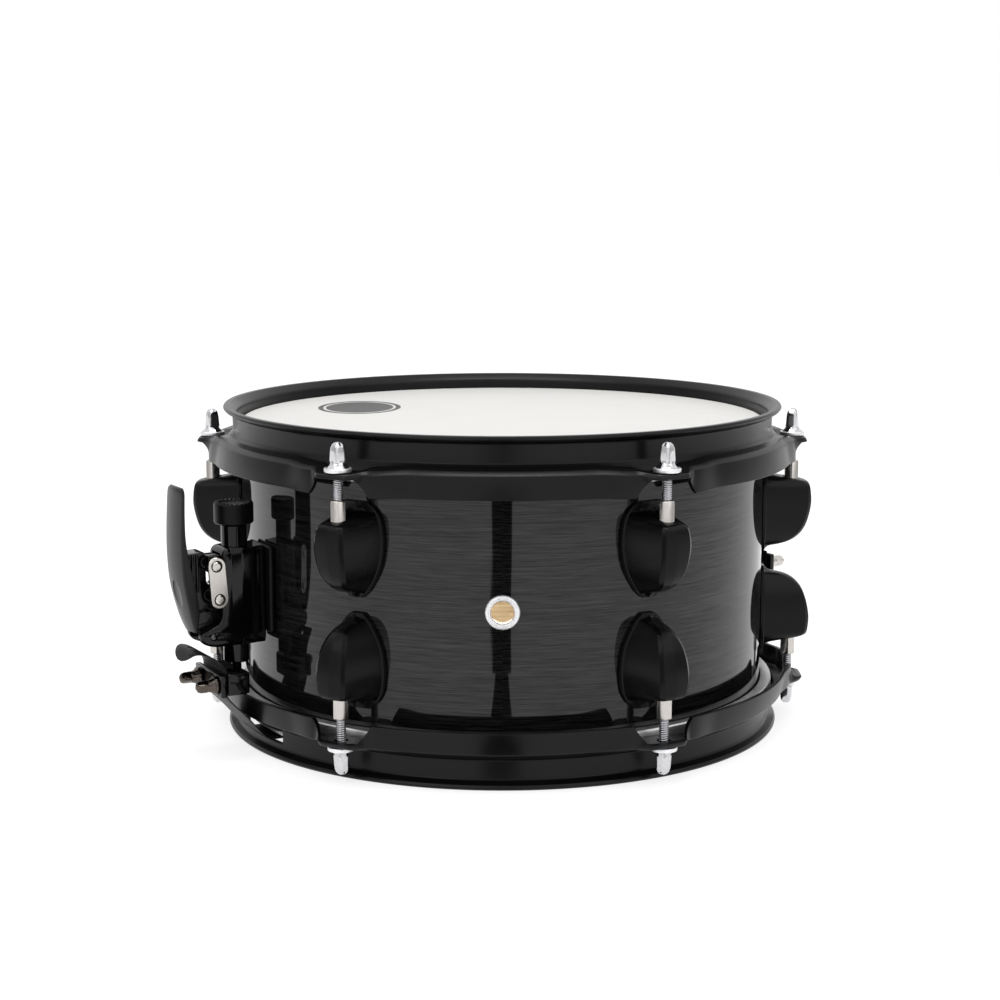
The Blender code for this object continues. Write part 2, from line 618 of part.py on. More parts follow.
def make_link():
    """The plate that joins the lever to the carriage's arm, with a rivet head over each pin."""
    x, z = LEVER_PIN
    reach = Vector((ARM_PIN[0] - x, 0, ARM_PIN[1] - z))
    side = Vector((reach.z, 0, -reach.x)).normalized()
    radius = 4.1 * MM
    bm = bmesh.new()
    outline = []
    for middle, start in ((Vector((0, 0, 0)), math.pi), (reach, 0.0)):
        for step in range(9):
            angle = start + math.pi * step / 8
            outline.append(middle + radius * (side * math.cos(angle) + reach.normalized() * math.sin(angle)))
    low = [bm.verts.new(point + Vector((0, LINK_FACE, 0))) for point in outline]
    high = [bm.verts.new(point + Vector((0, LINK_FACE + LINK_THICKNESS, 0))) for point in outline]
    bm.faces.new(low)
    bm.faces.new(high[::-1])
    for i in range(len(low)):
        j = (i + 1) % len(low)
        bm.faces.new((low[j], low[i], high[i], high[j]))
    place = (x, 0, z)
    link = add("throw_off_link", mesh_of(bm, "throw_off_link"), NICKEL, throw_off_station, place)
    rivets = bmesh.new()
    for middle in (Vector((0, 0, 0)), reach):
        add_rod(rivets, middle + Vector((0, LINK_FACE + 0.5 * MM, 0)),
                middle + Vector((0, LINK_FACE + LINK_THICKNESS + 0.9 * MM, 0)), 2.5 * MM, 12, 1.9 * MM)
    cut(link, mesh_of(rivets, "link_rivets"), place, "UNION")


# ---- strap clamps, straps and snare wires --------------------------------------------------------------
def screw_positions(top):
    middle = top - CLAMP_HEIGHT / 2
    return [(spread, middle) for spread in (-SCREW_SPREAD, SCREW_SPREAD)]


def screw_holes(name, top, radius):
    bm = bmesh.new()
    for y, z in screw_positions(top):
        add_rod(bm, (SCREW_TIP - 1 * MM, y, z), (170 * MM, y, z), radius, 12)
    return mesh_of(bm, name)


def make_screw_mesh(name):
    """A key screw lying along X: its shank runs in from the seat of its washer, at x = 0."""
    bm = bmesh.new()
    shank = PLATE_FACE + GAP - SCREW_TIP
    stops = [(-shank, SCREW_SHANK), (0, SCREW_SHANK), (0, 4.4 * MM), (1.4 * MM, 4.4 * MM),
             (2.0 * MM, 3.4 * MM), (4.2 * MM, 2.7 * MM), (9.0 * MM, 2.4 * MM), (9.8 * MM, 1.6 * MM)]
    sides = 12
    rings = [[(x, radius * math.cos(2 * math.pi * k / sides), radius * math.sin(2 * math.pi * k / sides))
              for k in range(sides)] for x, radius in stops]
    bm.free()
    return loft(name, rings)


def make_clamp(station, prefix, block, top):
    """The plate and the two screws that hold a strap against a block."""
    plate = box_mesh(prefix + "_clamp_plate", (PLATE_BACK, -PLATE_HALF_WIDTH, top - CLAMP_HEIGHT),
                     (PLATE_FACE, PLATE_HALF_WIDTH, top), 0.6 * MM)
    plate_piece = add(prefix + "_clamp_plate", plate, BLACK_CAST, station)
    cut(plate_piece, screw_holes(prefix + "_plate_holes", top, SCREW_SHANK + GAP))
    cut(block, screw_holes(prefix + "_block_holes", top, SCREW_SHANK + GAP))
    screw_mesh = make_screw_mesh(prefix + "_clamp_screw")
    for number, (y, z) in enumerate(screw_positions(top), start=1):
        add(f"{prefix}_clamp_screw_{number}", screw_mesh, NICKEL, station, (PLATE_FACE + GAP, y, z))


def make_throw_off_clamp():
    block_mesh = box_mesh("throw_off_clamp_block", (CLAMP_BACK, -BLOCK_HALF_WIDTH, CLAMP_TOP - CLAMP_HEIGHT),
                          (CLAMP_FACE, BLOCK_HALF_WIDTH, CLAMP_TOP), 0.8 * MM)
    block = add("throw_off_clamp_block", block_mesh, BLACK_CAST, throw_off_station)
    make_clamp(throw_off_station, "throw_off", block, CLAMP_TOP)
    nose = rod_mesh("spindle_socket", (POST_CIRCLE, 0, CLAMP_TOP + 5 * MM),
                    (POST_CIRCLE, 0, CLAMP_TOP - 9.5 * MM), SPINDLE_BORE, 14)
    cut(block, nose)


def make_butt_end():
    """A foot on the shell with a block that stands out from it, where the other strap is clamped."""
    foot = box_mesh("butt_block", (127.35 * MM, -13 * MM, -34 * MM), (131.5 * MM, 13 * MM, -6 * MM), 0.8 * MM)
    block = add("butt_block", foot, BLACK_CAST, butt_station)
    bracket = box_mesh("butt_bracket", (130 * MM, -BLOCK_HALF_WIDTH + 1 * MM, BUTT_CLAMP_TOP - CLAMP_HEIGHT),
                       (CLAMP_FACE, BLOCK_HALF_WIDTH - 1 * MM, BUTT_CLAMP_TOP), 0.8 * MM)
    cut(block, bracket, operation="UNION")
    make_clamp(butt_station, "butt", block, BUTT_CLAMP_TOP)


def strap_mesh(name, route, round_end):
    """A flat strap bent along a route of (distance, height) points in mm, with its outer end rounded."""
    path = [Vector((x * MM, 0, z * MM)) for x, z in smooth_path(route, 2)]
    lengths = [0.0]
    for a, b in zip(path, path[1:]):
        lengths.append(lengths[-1] + (b - a).length)
    rings = []
    for i, point in enumerate(path):
        along = (path[min(i + 1, len(path) - 1)] - path[max(i - 1, 0)]).normalized()
        normal = Vector((-along.z, 0, along.x)) * STRAP_THICKNESS / 2
        width = STRAP_HALF_WIDTH
        to_end = lengths[-1] - lengths[i]
        if round_end and to_end < round_end:
            width *= math.sqrt(max(1 - ((round_end - to_end) / round_end) ** 2, 0.12))
        side = Vector((0, width, 0))
        rings.append([point + normal - side, point + normal + side, point - normal + side,
                      point - normal - side])
    return loft(name, rings)


def make_straps():
    under = STRAP_UNDER_HEAD / MM
    inner = STRAP_INNER_END / MM
    line = STRAP_LINE / MM
    up_to_clamp = [(inner, under), (112, under), (127, under), (131.5, under + 0.4), (135.5, -67.6),
                   (143, -58.5)]
    top = CLAMP_TOP / MM
    to_throw_off = up_to_clamp + [(150.6, -51.4), (line, -46.5), (line, top - 4), (line, top + 0.4),
                                  (154.0, -34.0), (157.0, -30.6), (161.0, -28.0), (165.5, -26.9), (169.8, -27.8)]
    strap = add("throw_off_strap", strap_mesh("throw_off_strap", to_throw_off, 12 * MM), STRAP_BLACK,
                throw_off_station)
    cut(strap, screw_holes("throw_off_strap_holes", CLAMP_TOP, SCREW_SHANK + GAP))

    top = BUTT_CLAMP_TOP / MM
    to_butt = up_to_clamp + [(149.5, -47), (line - 0.3, -36), (line, -25), (line, top - 7), (line, top - 3),
                             (line, top + 1.5)]
    strap = add("butt_strap", strap_mesh("butt_strap", to_butt, 0), STRAP_BLACK, butt_station)
    cut(strap, screw_holes("butt_strap_holes", BUTT_CLAMP_TOP, SCREW_SHANK + GAP))


def make_snare_wires():
    """Two end plates with the strands soldered to them, lying under the snare-side head."""
    half_width = STRAND_PITCH * STRAND_COUNT / 2
    low, high = STRAND_HEIGHT - 0.5 * MM, STRAND_HEIGHT + 0.9 * MM
    plate = SNARE_HALF_LENGTH - SNARE_PLATE_LENGTH
    first = box_mesh("snare_wires", (plate, -half_width, low), (SNARE_HALF_LENGTH, half_width, high))
    wires = add("snare_wires", first, WIRE_STEEL, throw_off_station)
    second = box_mesh("snare_plate", (-SNARE_HALF_LENGTH, -half_width, low), (-plate, half_width, high))
    cut(wires, second, operation="UNION")
    strands = bmesh.new()
    for number in range(STRAND_COUNT):
        y = (number - (STRAND_COUNT - 1) / 2) * STRAND_PITCH
        add_rod(strands, (-plate - 2 * MM, y, STRAND_HEIGHT), (plate + 2 * MM, y, STRAND_HEIGHT),
                STRAND_RADIUS, 6)
    cut(wires, mesh_of(strands, "snare_strands"), operation="UNION")


make_shell()
make_vent()
make_head("batter_head", 1)
make_head("snare_side_head", -1)
make_hoop("batter_hoop", 1)
cut_gates(make_hoop("snare_side_hoop", -1))
make_lug_stations()
make_throw_off_body()
make_carriage()
make_knob()
make_lever()
make_link()
make_throw_off_clamp()
make_butt_end()
make_straps()
make_snare_wires()
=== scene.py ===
"""The looks of a small black snare drum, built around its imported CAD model.

The frame's own units are metres with +Z up.  Pieces are drawn in millimetres at a station: a place on the
drum's axis at mid-depth whose +X points outwards, so there x is the distance from the drum's axis, y is
sideways and z is the height from mid-depth.  show() then puts them in the drum's own metres.
"""
import json
import math

import bmesh
import bpy
from mathutils import Matrix, Vector


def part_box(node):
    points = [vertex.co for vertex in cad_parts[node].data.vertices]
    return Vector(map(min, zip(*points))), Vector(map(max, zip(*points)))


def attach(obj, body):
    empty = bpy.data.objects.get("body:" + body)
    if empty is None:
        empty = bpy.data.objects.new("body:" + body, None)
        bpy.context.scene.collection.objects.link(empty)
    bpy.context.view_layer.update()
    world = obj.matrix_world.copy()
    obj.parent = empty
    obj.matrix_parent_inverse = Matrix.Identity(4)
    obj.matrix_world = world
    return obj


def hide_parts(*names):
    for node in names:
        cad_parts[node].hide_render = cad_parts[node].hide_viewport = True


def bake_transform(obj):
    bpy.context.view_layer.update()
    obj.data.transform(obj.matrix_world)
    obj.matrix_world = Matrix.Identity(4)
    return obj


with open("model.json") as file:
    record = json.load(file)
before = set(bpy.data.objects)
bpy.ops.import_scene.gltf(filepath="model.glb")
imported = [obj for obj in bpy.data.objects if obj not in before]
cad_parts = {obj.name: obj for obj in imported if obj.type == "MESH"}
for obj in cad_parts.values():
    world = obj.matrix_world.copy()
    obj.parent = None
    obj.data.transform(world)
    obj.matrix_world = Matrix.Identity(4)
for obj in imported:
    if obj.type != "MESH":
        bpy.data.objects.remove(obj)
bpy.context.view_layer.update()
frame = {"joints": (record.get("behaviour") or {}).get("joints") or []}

# ---- sizes from the frame ---------------------------------
MM = 0.001
shell_low, shell_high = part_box("shell")
SHELL_RADIUS = shell_high.x / MM
SHELL_HALF_DEPTH = (shell_high.z - shell_low.z) / 2 / MM
MIDDLE = (shell_high.z + shell_low.z) / 2
joints = {joint["name"]: joint for joint in frame["joints"]}


def turn_of(joint):
    """The turn about the drum's axis at which a joint's own axis stands."""
    x, y, _ = joints[joint]["pos_m"]
    return math.atan2(y, x)


def station(turn):
    return Matrix.Translation((0, 0, MIDDLE)) @ Matrix.Rotation(turn, 4, "Z")


def at_station(joint):
    """A joint's place in its own station, in millimetres: distance from the drum's axis, and height."""
    x, y, z = joints[joint]["pos_m"]
    return math.hypot(x, y) / MM, (z - MIDDLE) / MM


CENTRE = station(0.0)
LUG_TURNS = [turn_of(f"batter_rod_{number}_turn") for number in range(1, 7)]
THROW_OFF = station(turn_of("lever_turn"))
BUTT = station(turn_of("lever_turn") + math.pi)
ROD_CIRCLE, WASHER_SEAT = at_station("batter_rod_1_turn")
LEVER_X, LEVER_Z = at_station("lever_turn")
POST_X, _ = at_station("knob_turn")
LINK_X, LINK_Z = at_station("link_turn")

# ---- sizes of the looks, in millimetres -------------------
SHELL_WALL = 6.5
BEARING_EDGE_SETBACK = 1.6
FILM = 0.5
HEAD_LEVEL = SHELL_HALF_DEPTH + 0.3
ROD_RADIUS = 2.25
THREAD_PITCH = 1.0
THREAD_DEPTH = 0.32
THREAD_START = 44.0
NUT_RADIUS = 3.7
NUT_BORE = 2.5
NUT_TOP = 48.5
NUT_BOTTOM = 22.0
LUG_BORE = 4.05
LUG_BORE_END = 21.0
LUG_BACK = SHELL_RADIUS + 0.35
LUG_PLATE = 1.7
EAR_FLAT = math.radians(2.4)
EAR_EDGE = math.radians(6.2)
FLARE_FADE = math.radians(14.0)
EAR_HOLE = 3.1
NOTCH_TOP = 58.45
NOTCH_NARROW = 9.8
NOTCH_SLOPE = 1.45
GATE_HALF_WIDTH = 21.5
GATE_TOP = 66.2
GATE_BOTTOM = 72.0
ARM_X = 155.3
ARM_Z = 12.4
PIN_RADIUS = 1.3
PIN_REACH = 9.8
STRAP_THICKNESS = 0.6
STRAP_HALF_WIDTH = 13.5
CLAMP_FACE = 152.3
PLATE_BACK = 153.5
PLATE_FACE = 156.2
SCREW_SPREAD = 10.0
CLAMP_HEIGHT = 10.5
CLAMP_TOP = -37.5
BUTT_CLAMP_TOP = -10.7
STRAND_COUNT = 20
STRAND_PITCH = 1.95
STRAND_HEIGHT = -72.55
SNARE_HALF_LENGTH = 104.0
SNARE_PLATE_LENGTH = 11.0

# A lug as level sections from its hoop end to its tip: height, half width of the foot, half width where
# the body leaves the foot, half width of the outer panel, and how far the panel stands out.
LUG_SECTIONS = [
    (46.4, 6.5, 5.6, 3.0, 129.3),
    (43.6, 10.4, 9.2, 4.6, 129.5),
    (42.2, 11.3, 10.0, 5.0, 130.2),
    (41.6, 11.7, 10.3, 5.2, 133.4),
    (39.2, 13.0, 11.5, 5.4, 147.8),
    (38.2, 13.3, 11.8, 5.8, 150.0),
    (36.8, 13.6, 12.1, 6.9, 150.9),
    (33.0, 14.2, 12.7, 7.5, 151.4),
    (28.0, 14.5, 13.0, 7.7, 151.7),
    (20.0, 13.6, 12.1, 7.2, 150.2),
    (14.0, 11.3, 9.9, 6.0, 147.8),
    (9.6, 8.7, 7.4, 4.4, 143.6),
    (7.2, 7.0, 5.8, 3.2, 138.0),
    (6.2, 6.3, 5.1, 2.6, 130.6),
    (3.6, 3.4, 2.7, 1.5, 129.3),
]

# The lever's handle from its free end down: height, outer face, inner face and half width.
HANDLE_SECTIONS = [
    (48.6, 170.3, 169.3, 7.4),
    (48.3, 170.7, 169.2, 8.6),
    (46.8, 171.1, 169.2, 9.7),
    (44.0, 171.3, 169.3, 10.0),
    (36.0, 171.8, 169.5, 10.0),
    (24.5, 172.3, 169.4, 10.0),
    (13.5, 172.1, 167.4, 10.0),
    (3.0, 171.2, 164.8, 10.0),
    (-8.0, 168.6, 163.0, 9.2),
    (-14.5, 166.9, 163.2, 8.0),
    (-18.2, 165.4, 164.1, 6.8),
]

# The throw-off's housing from its top down: height, front, and half widths at its front, post and back.
HOUSING_SECTIONS = [
    (19.4, 148.6, 6.6, 8.9, 7.0),
    (18.6, 150.6, 7.8, 9.4, 7.8),
    (15.0, 151.3, 8.5, 9.5, 8.0),
    (4.0, 151.4, 8.7, 9.5, 8.0),
    (-8.0, 151.6, 9.0, 9.3, 8.0),
    (-14.5, 152.6, 9.3, 9.2, 8.2),
    (-16.6, 158.0, 9.5, 9.2, 8.4),
    (-18.6, 162.6, 9.5, 9.3, 8.4),
    (-21.5, 162.9, 9.3, 9.3, 8.4),
    (-24.6, 160.4, 8.8, 9.0, 8.0),
    (-25.7, 156.0, 7.6, 8.2, 7.2),
]


INK = (0.022, 0.021, 0.020, 1.0)


# ---- materials --------------------------------------------
class Graph:
    """A material under construction: its Principled shader, and nodes added around it."""

    def __init__(self, name, colour, roughness, metallic=0.0, specular=0.5):
        self.material = bpy.data.materials.new(name)
        self.material.use_nodes = True
        self.tree = self.material.node_tree
        self.shader = self.tree.nodes["Principled BSDF"]
        self.shader.inputs["Base Color"].default_value = (*colour, 1.0)
        self.shader.inputs["Roughness"].default_value = roughness
        self.shader.inputs["Metallic"].default_value = metallic
        self.shader.inputs["Specular IOR Level"].default_value = specular
        self.place = self.node("TexCoord").outputs["Object"]

    def node(self, kind, settings=None, **inputs):
        """A new node: inputs are named as on the node, with _ for a space, and take a value or a socket."""
        made = self.tree.nodes.new("ShaderNode" + kind)
        for key, value in (settings or {}).items():
            setattr(made, key, value)
        for key, value in inputs.items():
            self.put(made, key.replace("_", " "), value)
        return made

    def put(self, node, key, value):
        socket = node.inputs[int(key)] if key.isdigit() else node.inputs[key]
        if isinstance(value, bpy.types.NodeSocket):
            self.tree.links.new(value, socket)
        else:
            socket.default_value = value

    def maths(self, operation, first, second):
        made = self.node("Math", {"operation": operation})
        self.put(made, "0", first)
        self.put(made, "1", second)
        return made.outputs[0]

    def stretched(self, scale, source=None):
        """Coordinates multiplied by a scale along each axis."""
        made = self.node("VectorMath", {"operation": "MULTIPLY"})
        self.put(made, "0", source or self.place)
        self.put(made, "1", scale)
        return made.outputs[0]

    def noise(self, scale, detail=3.0, source=None, roughness=0.5):
        """Noise with a size for each axis, as features to the metre."""
        made = self.node("TexNoise", Scale=1.0, Detail=detail, Roughness=roughness,
                         Vector=self.stretched(scale, source))
        return made.outputs["Fac"]

    def ramp(self, factor, stops):
        """Colours along a factor, from (position, colour) stops."""
        made = self.node("ValToRGB", Fac=factor)
        band = made.color_ramp
        while len(band.elements) < len(stops):
            band.elements.new(0.5)
        for element, (position, colour) in zip(band.elements, stops):
            element.position = position
            element.color = (*colour, 1.0)
        return made.outputs["Color"]

    def colour_between(self, factor, dark, light, low=0.3, high=0.7):
        self.put(self.shader, "Base Color", self.ramp(factor, [(low, dark), (high, light)]))

    def link_range(self, factor, socket, low, high, at_low, at_high):
        """A shader value that goes from at_low to at_high as the factor goes from low to high."""
        made = self.node("MapRange", Value=factor)
        for name, value in (("From Min", low), ("From Max", high), ("To Min", at_low), ("To Max", at_high)):
            made.inputs[name].default_value = value
        self.put(self.shader, socket, made.outputs[0])

    def roughness_between(self, factor, low, high):
        self.link_range(factor, "Roughness", 0.0, 1.0, low, high)

    def bump(self, height, distance, strength=1.0):
        made = self.node("Bump", Height=height, Distance=distance, Strength=strength)
        self.put(self.shader, "Normal", made.outputs["Normal"])

    def round_the_drum(self):
        """Coordinates that run round the drum's axis, in metres of its shell: along, outwards and up."""
        axes = self.node("SeparateXYZ", Vector=self.place)
        turn = self.maths("ARCTAN2", axes.outputs["X"], axes.outputs["Y"])
        along = self.maths("MULTIPLY", turn, SHELL_RADIUS * MM)
        out = self.node("VectorMath", {"operation": "LENGTH"})
        self.put(out, "0", self.stretched((1.0, 1.0, 0.0)))
        joined = self.node("CombineXYZ", X=along, Y=out.outputs["Value"], Z=axes.outputs["Z"])
        return joined.outputs[0]


def make_lacquer():
    """Black stain under clear gloss: the veneer's long level streaks show through."""
    graph = Graph("lacquer", (0.01, 0.01, 0.011), 0.045, specular=0.5)
    around = graph.round_the_drum()
    streaks = graph.noise((60, 1, 2600), 3.0, around, 0.6)
    bands = graph.noise((12, 1, 800), 3.0, around, 0.55)
    grain = graph.maths("ADD", graph.maths("MULTIPLY", streaks, 0.7), graph.maths("MULTIPLY", bands, 0.3))
    graph.colour_between(grain, (0.0008, 0.0008, 0.0009), (0.0130, 0.0130, 0.0138), 0.38, 0.64)
    graph.link_range(grain, "Metallic", 0.36, 0.64, 0.42, 0.0)
    graph.roughness_between(grain, 0.03, 0.06)
    return graph.material


def make_maple():
    """Bare maple inside the shell, with its grain running round."""
    graph = Graph("maple", (0.62, 0.50, 0.33), 0.55, specular=0.3)
    around = graph.round_the_drum()
    grain = graph.noise((30, 400, 500), 4.0, around, 0.6)
    graph.colour_between(grain, (0.52, 0.40, 0.25), (0.70, 0.57, 0.39), 0.35, 0.65)
    graph.bump(grain, 0.00005, 0.5)
    return graph.material


def make_powder_coat(name, colour, roughness, specular, fineness):
    """Satin black coat: a fine orange peel, and a roughness that wanders a little."""
    graph = Graph(name, colour, roughness, specular=specular)
    peel = graph.noise((fineness,) * 3, 2.0)
    patches = graph.noise((60,) * 3, 2.0)
    graph.colour_between(patches, tuple(0.8 * c for c in colour), tuple(1.25 * c for c in colour))
    graph.roughness_between(patches, roughness - 0.04, roughness + 0.05)
    graph.bump(peel, 0.00003, 0.5)
    return graph.material


def make_metal(name, colour, roughness, grain_scale):
    """Plated metal with faint polishing marks."""
    graph = Graph(name, colour, roughness, metallic=1.0)
    marks = graph.noise(grain_scale, 3.0)
    graph.colour_between(marks, tuple(0.90 * c for c in colour), tuple(min(1.0, 1.05 * c) for c in colour))
    graph.roughness_between(marks, 0.7 * roughness, 1.3 * roughness)
    graph.bump(marks, 0.00001, 0.3)
    return graph.material


def make_film(name, colour, marks):
    """White coated film with faint mottling, and plain printed ovals as (x, y, across, along)."""
    graph = Graph(name, colour, 0.42, specular=0.35)
    mottle = graph.noise((55,) * 3, 3.0)
    coat = graph.noise((1400,) * 3, 2.0)
    paint = graph.ramp(mottle, [(0.3, tuple(0.97 * c for c in colour)), (0.7, colour)])
    for x, y, across, along in marks:
        oval = graph.node("Mapping", {"vector_type": "TEXTURE"}, Vector=graph.place)
        oval.inputs["Location"].default_value = (x * MM, y * MM, 0)
        oval.inputs["Scale"].default_value = (across * MM, along * MM, 1e3)
        reach = graph.node("VectorMath", {"operation": "LENGTH"}, Vector=oval.outputs[0])
        inked = [(0.0, 1), (0.80, 1), (0.82, 0), (0.86, 0), (0.88, 1), (0.98, 1), (1.0, 0)]
        ink = graph.ramp(reach.outputs["Value"], [(position, (grey,) * 3) for position, grey in inked])
        mixed = graph.node("Mix", {"data_type": "RGBA"})
        graph.tree.links.new(ink, mixed.inputs[0])
        graph.tree.links.new(paint, mixed.inputs[6])
        mixed.inputs[7].default_value = INK
        paint = mixed.outputs[2]
    graph.put(graph.shader, "Base Color", paint)
    graph.bump(coat, 0.00004, 0.4)
    return graph.material


def make_strap_weave():
    """Close-woven black webbing."""
    graph = Graph("strap", (0.006, 0.006, 0.006), 0.45, specular=0.12)
    warp = graph.node("TexWave", {"bands_direction": "Z"}, Scale=700.0, Distortion=0.4, Vector=graph.place)
    weft = graph.node("TexWave", {"bands_direction": "DIAGONAL"}, Scale=520.0, Distortion=0.4,
                      Vector=graph.place)
    weave = graph.maths("MULTIPLY", warp.outputs["Fac"], weft.outputs["Fac"])
    graph.colour_between(weave, (0.0035, 0.0035, 0.0038), (0.0090, 0.0090, 0.0095), 0.1, 0.8)
    graph.bump(weave, 0.00008, 0.6)
    return graph.material


FINISHES = {
    "lacquer": make_lacquer(),
    "maple": make_maple(),
    "black_steel": make_powder_coat("black_steel", (0.0028, 0.0028, 0.0032), 0.30, 0.20, 1500),
    "black_cast": make_powder_coat("black_cast", (0.0021, 0.0021, 0.0023), 0.25, 0.145, 1100),
    "black_gloss": make_powder_coat("black_gloss", (0.0012, 0.0012, 0.0012), 0.10, 0.30, 700),
    "black_satin": make_powder_coat("black_satin", (0.0040, 0.0040, 0.0042), 0.30, 0.26, 900),
    "black_moulded": make_powder_coat("black_moulded", (0.0020, 0.0020, 0.0020), 0.36, 0.13, 2200),
    "chrome": make_metal("chrome", (0.66, 0.66, 0.68), 0.12, (900, 900, 900)),
    "nickel": make_metal("nickel", (0.60, 0.57, 0.54), 0.24, (1600, 1600, 300)),
    "thread_steel": make_metal("thread_steel", (0.40, 0.40, 0.42), 0.22, (900, 900, 900)),
    "bronze_nickel": make_metal("bronze_nickel", (0.10, 0.084, 0.074), 0.15, (900, 900, 900)),
    "aluminium": make_metal("aluminium", (0.80, 0.80, 0.80), 0.42, (120, 120, 2600)),
    "dark_chrome": make_metal("dark_chrome", (0.12, 0.12, 0.125), 0.16, (900, 900, 900)),
    "wire_steel": make_metal("wire_steel", (0.60, 0.60, 0.62), 0.22, (1500, 1500, 1500)),
    "washer": make_metal("washer", (0.86, 0.86, 0.88), 0.45, (900, 900, 900)),
    "batter_film": make_film("batter_film", (0.615, 0.606, 0.589), [(-72, 34, 21, 28)]),
    "snare_film": make_film("snare_film", (0.56, 0.56, 0.55), []),
    "strap": make_strap_weave(),
}


# ---- making meshes ----------------------------------------
def rounded(corners, steps=4):
    """The closed outline of (x, y, radius) corners, each turned into a smooth bend of steps + 1 points."""
    outline = []
    for before, corner, after in zip(corners[-1:] + corners[:-1], corners, corners[1:] + corners[:1]):
        here = Vector(corner[:2])
        back = Vector(before[:2]) - here
        on = Vector(after[:2]) - here
        half_angle = back.angle(on, math.pi) / 2
        reach = corner[2] / max(math.tan(half_angle), 0.05)
        reach = min(reach, 0.45 * back.length, 0.45 * on.length)
        start = here + back.normalized() * reach
        end = here + on.normalized() * reach
        for step in range(steps + 1):
            t = step / steps
            outline.append(start * (1 - t) ** 2 + here * (2 * t * (1 - t)) + end * t * t)
    return outline


def circle(radius, sides):
    return [(radius * math.cos(2 * math.pi * k / sides), radius * math.sin(2 * math.pi * k / sides))
            for k in range(sides)]


def squared(half, sides, power):
    """The points of a square whose corners are the rounder the lower the power."""
    ring = []
    for x, y in circle(1.0, sides):
        reach = half / (abs(x) ** power + abs(y) ** power) ** (1 / power)
        ring.append((reach * x, reach * y))
    return ring


def eased(rows, per_span):
    """Rows of numbers on a smooth curve from the first row to the last, bending towards the others."""
    middles = [[(a + b) / 2 for a, b in zip(first, second)] for first, second in zip(rows, rows[1:])]
    found = [list(rows[0])]
    starts = [rows[0]] + middles[1:]
    for start, pull, end in zip(starts, rows[1:-1], middles[1:-1] + [rows[-1]]):
        for step in range(1, per_span + 1):
            t = step / per_span
            found.append([s * (1 - t) ** 2 + p * 2 * t * (1 - t) + e * t * t
                          for s, p, e in zip(start, pull, end)])
    return found


def skin(bm, rings, cyclic=False):
    """Faces over matching rings of points, closed on itself if cyclic, and capped otherwise."""
    made = [[bm.verts.new(point) for point in ring] for ring in rings]
    following = made[1:] + made[:1] if cyclic else made[1:]
    count = len(rings[0])
    for first, second in zip(made, following):
        for i in range(count):
            j = (i + 1) % count
            bm.faces.new((first[i], first[j], second[j], second[i]))
    if not cyclic:
        bm.faces.new(made[0])
        bm.faces.new(made[-1][::-1])


def at_turn(turn, outline):
    """An outline of (radius, height) points, turned about Z."""
    return [(r * math.cos(turn), r * math.sin(turn), z) for r, z in outline]


def turned(bm, outline, steps):
    """A closed outline of (radius, height) points turned about Z all the way round."""
    skin(bm, [at_turn(2 * math.pi * step / steps, outline) for step in range(steps)], cyclic=True)
    bmesh.ops.remove_doubles(bm, verts=bm.verts, dist=1e-4)


def bar(bm, start, end, radius, sides=24):
    """A straight round bar between two points."""
    start, end = Vector(start), Vector(end)
    upright = (end - start).to_track_quat("Z", "Y").to_matrix().to_4x4()
    place = Matrix.Translation((start + end) / 2) @ upright
    bmesh.ops.create_cone(bm, cap_ends=True, segments=sides, radius1=radius, radius2=radius,
                          depth=(end - start).length, matrix=place)


def block(bm, low, high, bevel, segments=3):
    size = Vector(high) - Vector(low)
    centre = (Vector(high) + Vector(low)) / 2
    made = bmesh.ops.create_cube(bm, size=1.0, matrix=Matrix.LocRotScale(centre, None, size))
    edges = {edge for vert in made["verts"] for edge in vert.link_edges}
    if bevel:
        bmesh.ops.bevel(bm, geom=list(edges), offset=bevel, segments=segments, profile=0.5, affect="EDGES")


def tube(bm, path, radius, sides):
    """A round wire along a path that never turns back on itself."""
    rings = []
    for i, point in enumerate(path):
        along = (path[min(i + 1, len(path) - 1)] - path[max(i - 1, 0)]).normalized()
        across = along.cross(Vector((0, 0, 1))).normalized()
        up = across.cross(along)
        rings.append([point + radius * (across * math.cos(2 * math.pi * k / sides)
                                        + up * math.sin(2 * math.pi * k / sides)) for k in range(sides)])
    skin(bm, rings)


def mesh_of(bm, name, sharp=35):
    """The bmesh as a mesh in metres, facing out and smooth up to an angle."""
    bmesh.ops.scale(bm, vec=(MM,) * 3, verts=bm.verts)
    bmesh.ops.recalc_face_normals(bm, faces=bm.faces)
    mesh = bpy.data.meshes.new(name)
    bm.to_mesh(mesh)
    bm.free()
    mesh.shade_smooth()
    mesh.set_sharp_from_angle(angle=math.radians(sharp))
    return mesh


def drawn(name, draw, *details, sharp=35, **options):
    """A mesh drawn by one of the functions above."""
    bm = bmesh.new()
    draw(bm, *details, **options)
    return mesh_of(bm, name, sharp)


def new_object(name, data):
    made = bpy.data.objects.new(name, data)
    bpy.context.scene.collection.objects.link(made)
    return made


def combined(name, mesh, tools, sharp=35):
    """The mesh after Booleans with (operation, mesh) tools."""
    body = new_object(name, mesh)
    helpers = []
    for operation, tool_mesh in tools:
        helper = new_object(name + "_tool", tool_mesh)
        boolean = body.modifiers.new(operation.lower(), "BOOLEAN")
        boolean.operation = operation
        boolean.object = helper
        helpers.append(helper)
    bpy.context.view_layer.update()
    evaluated = body.evaluated_get(bpy.context.evaluated_depsgraph_get())
    result = bpy.data.meshes.new_from_object(evaluated)
    result.name = name
    for helper in [body] + helpers:
        bpy.data.objects.remove(helper)
    result.materials.clear()
    result.shade_smooth()
    result.set_sharp_from_angle(angle=math.radians(sharp))
    return result


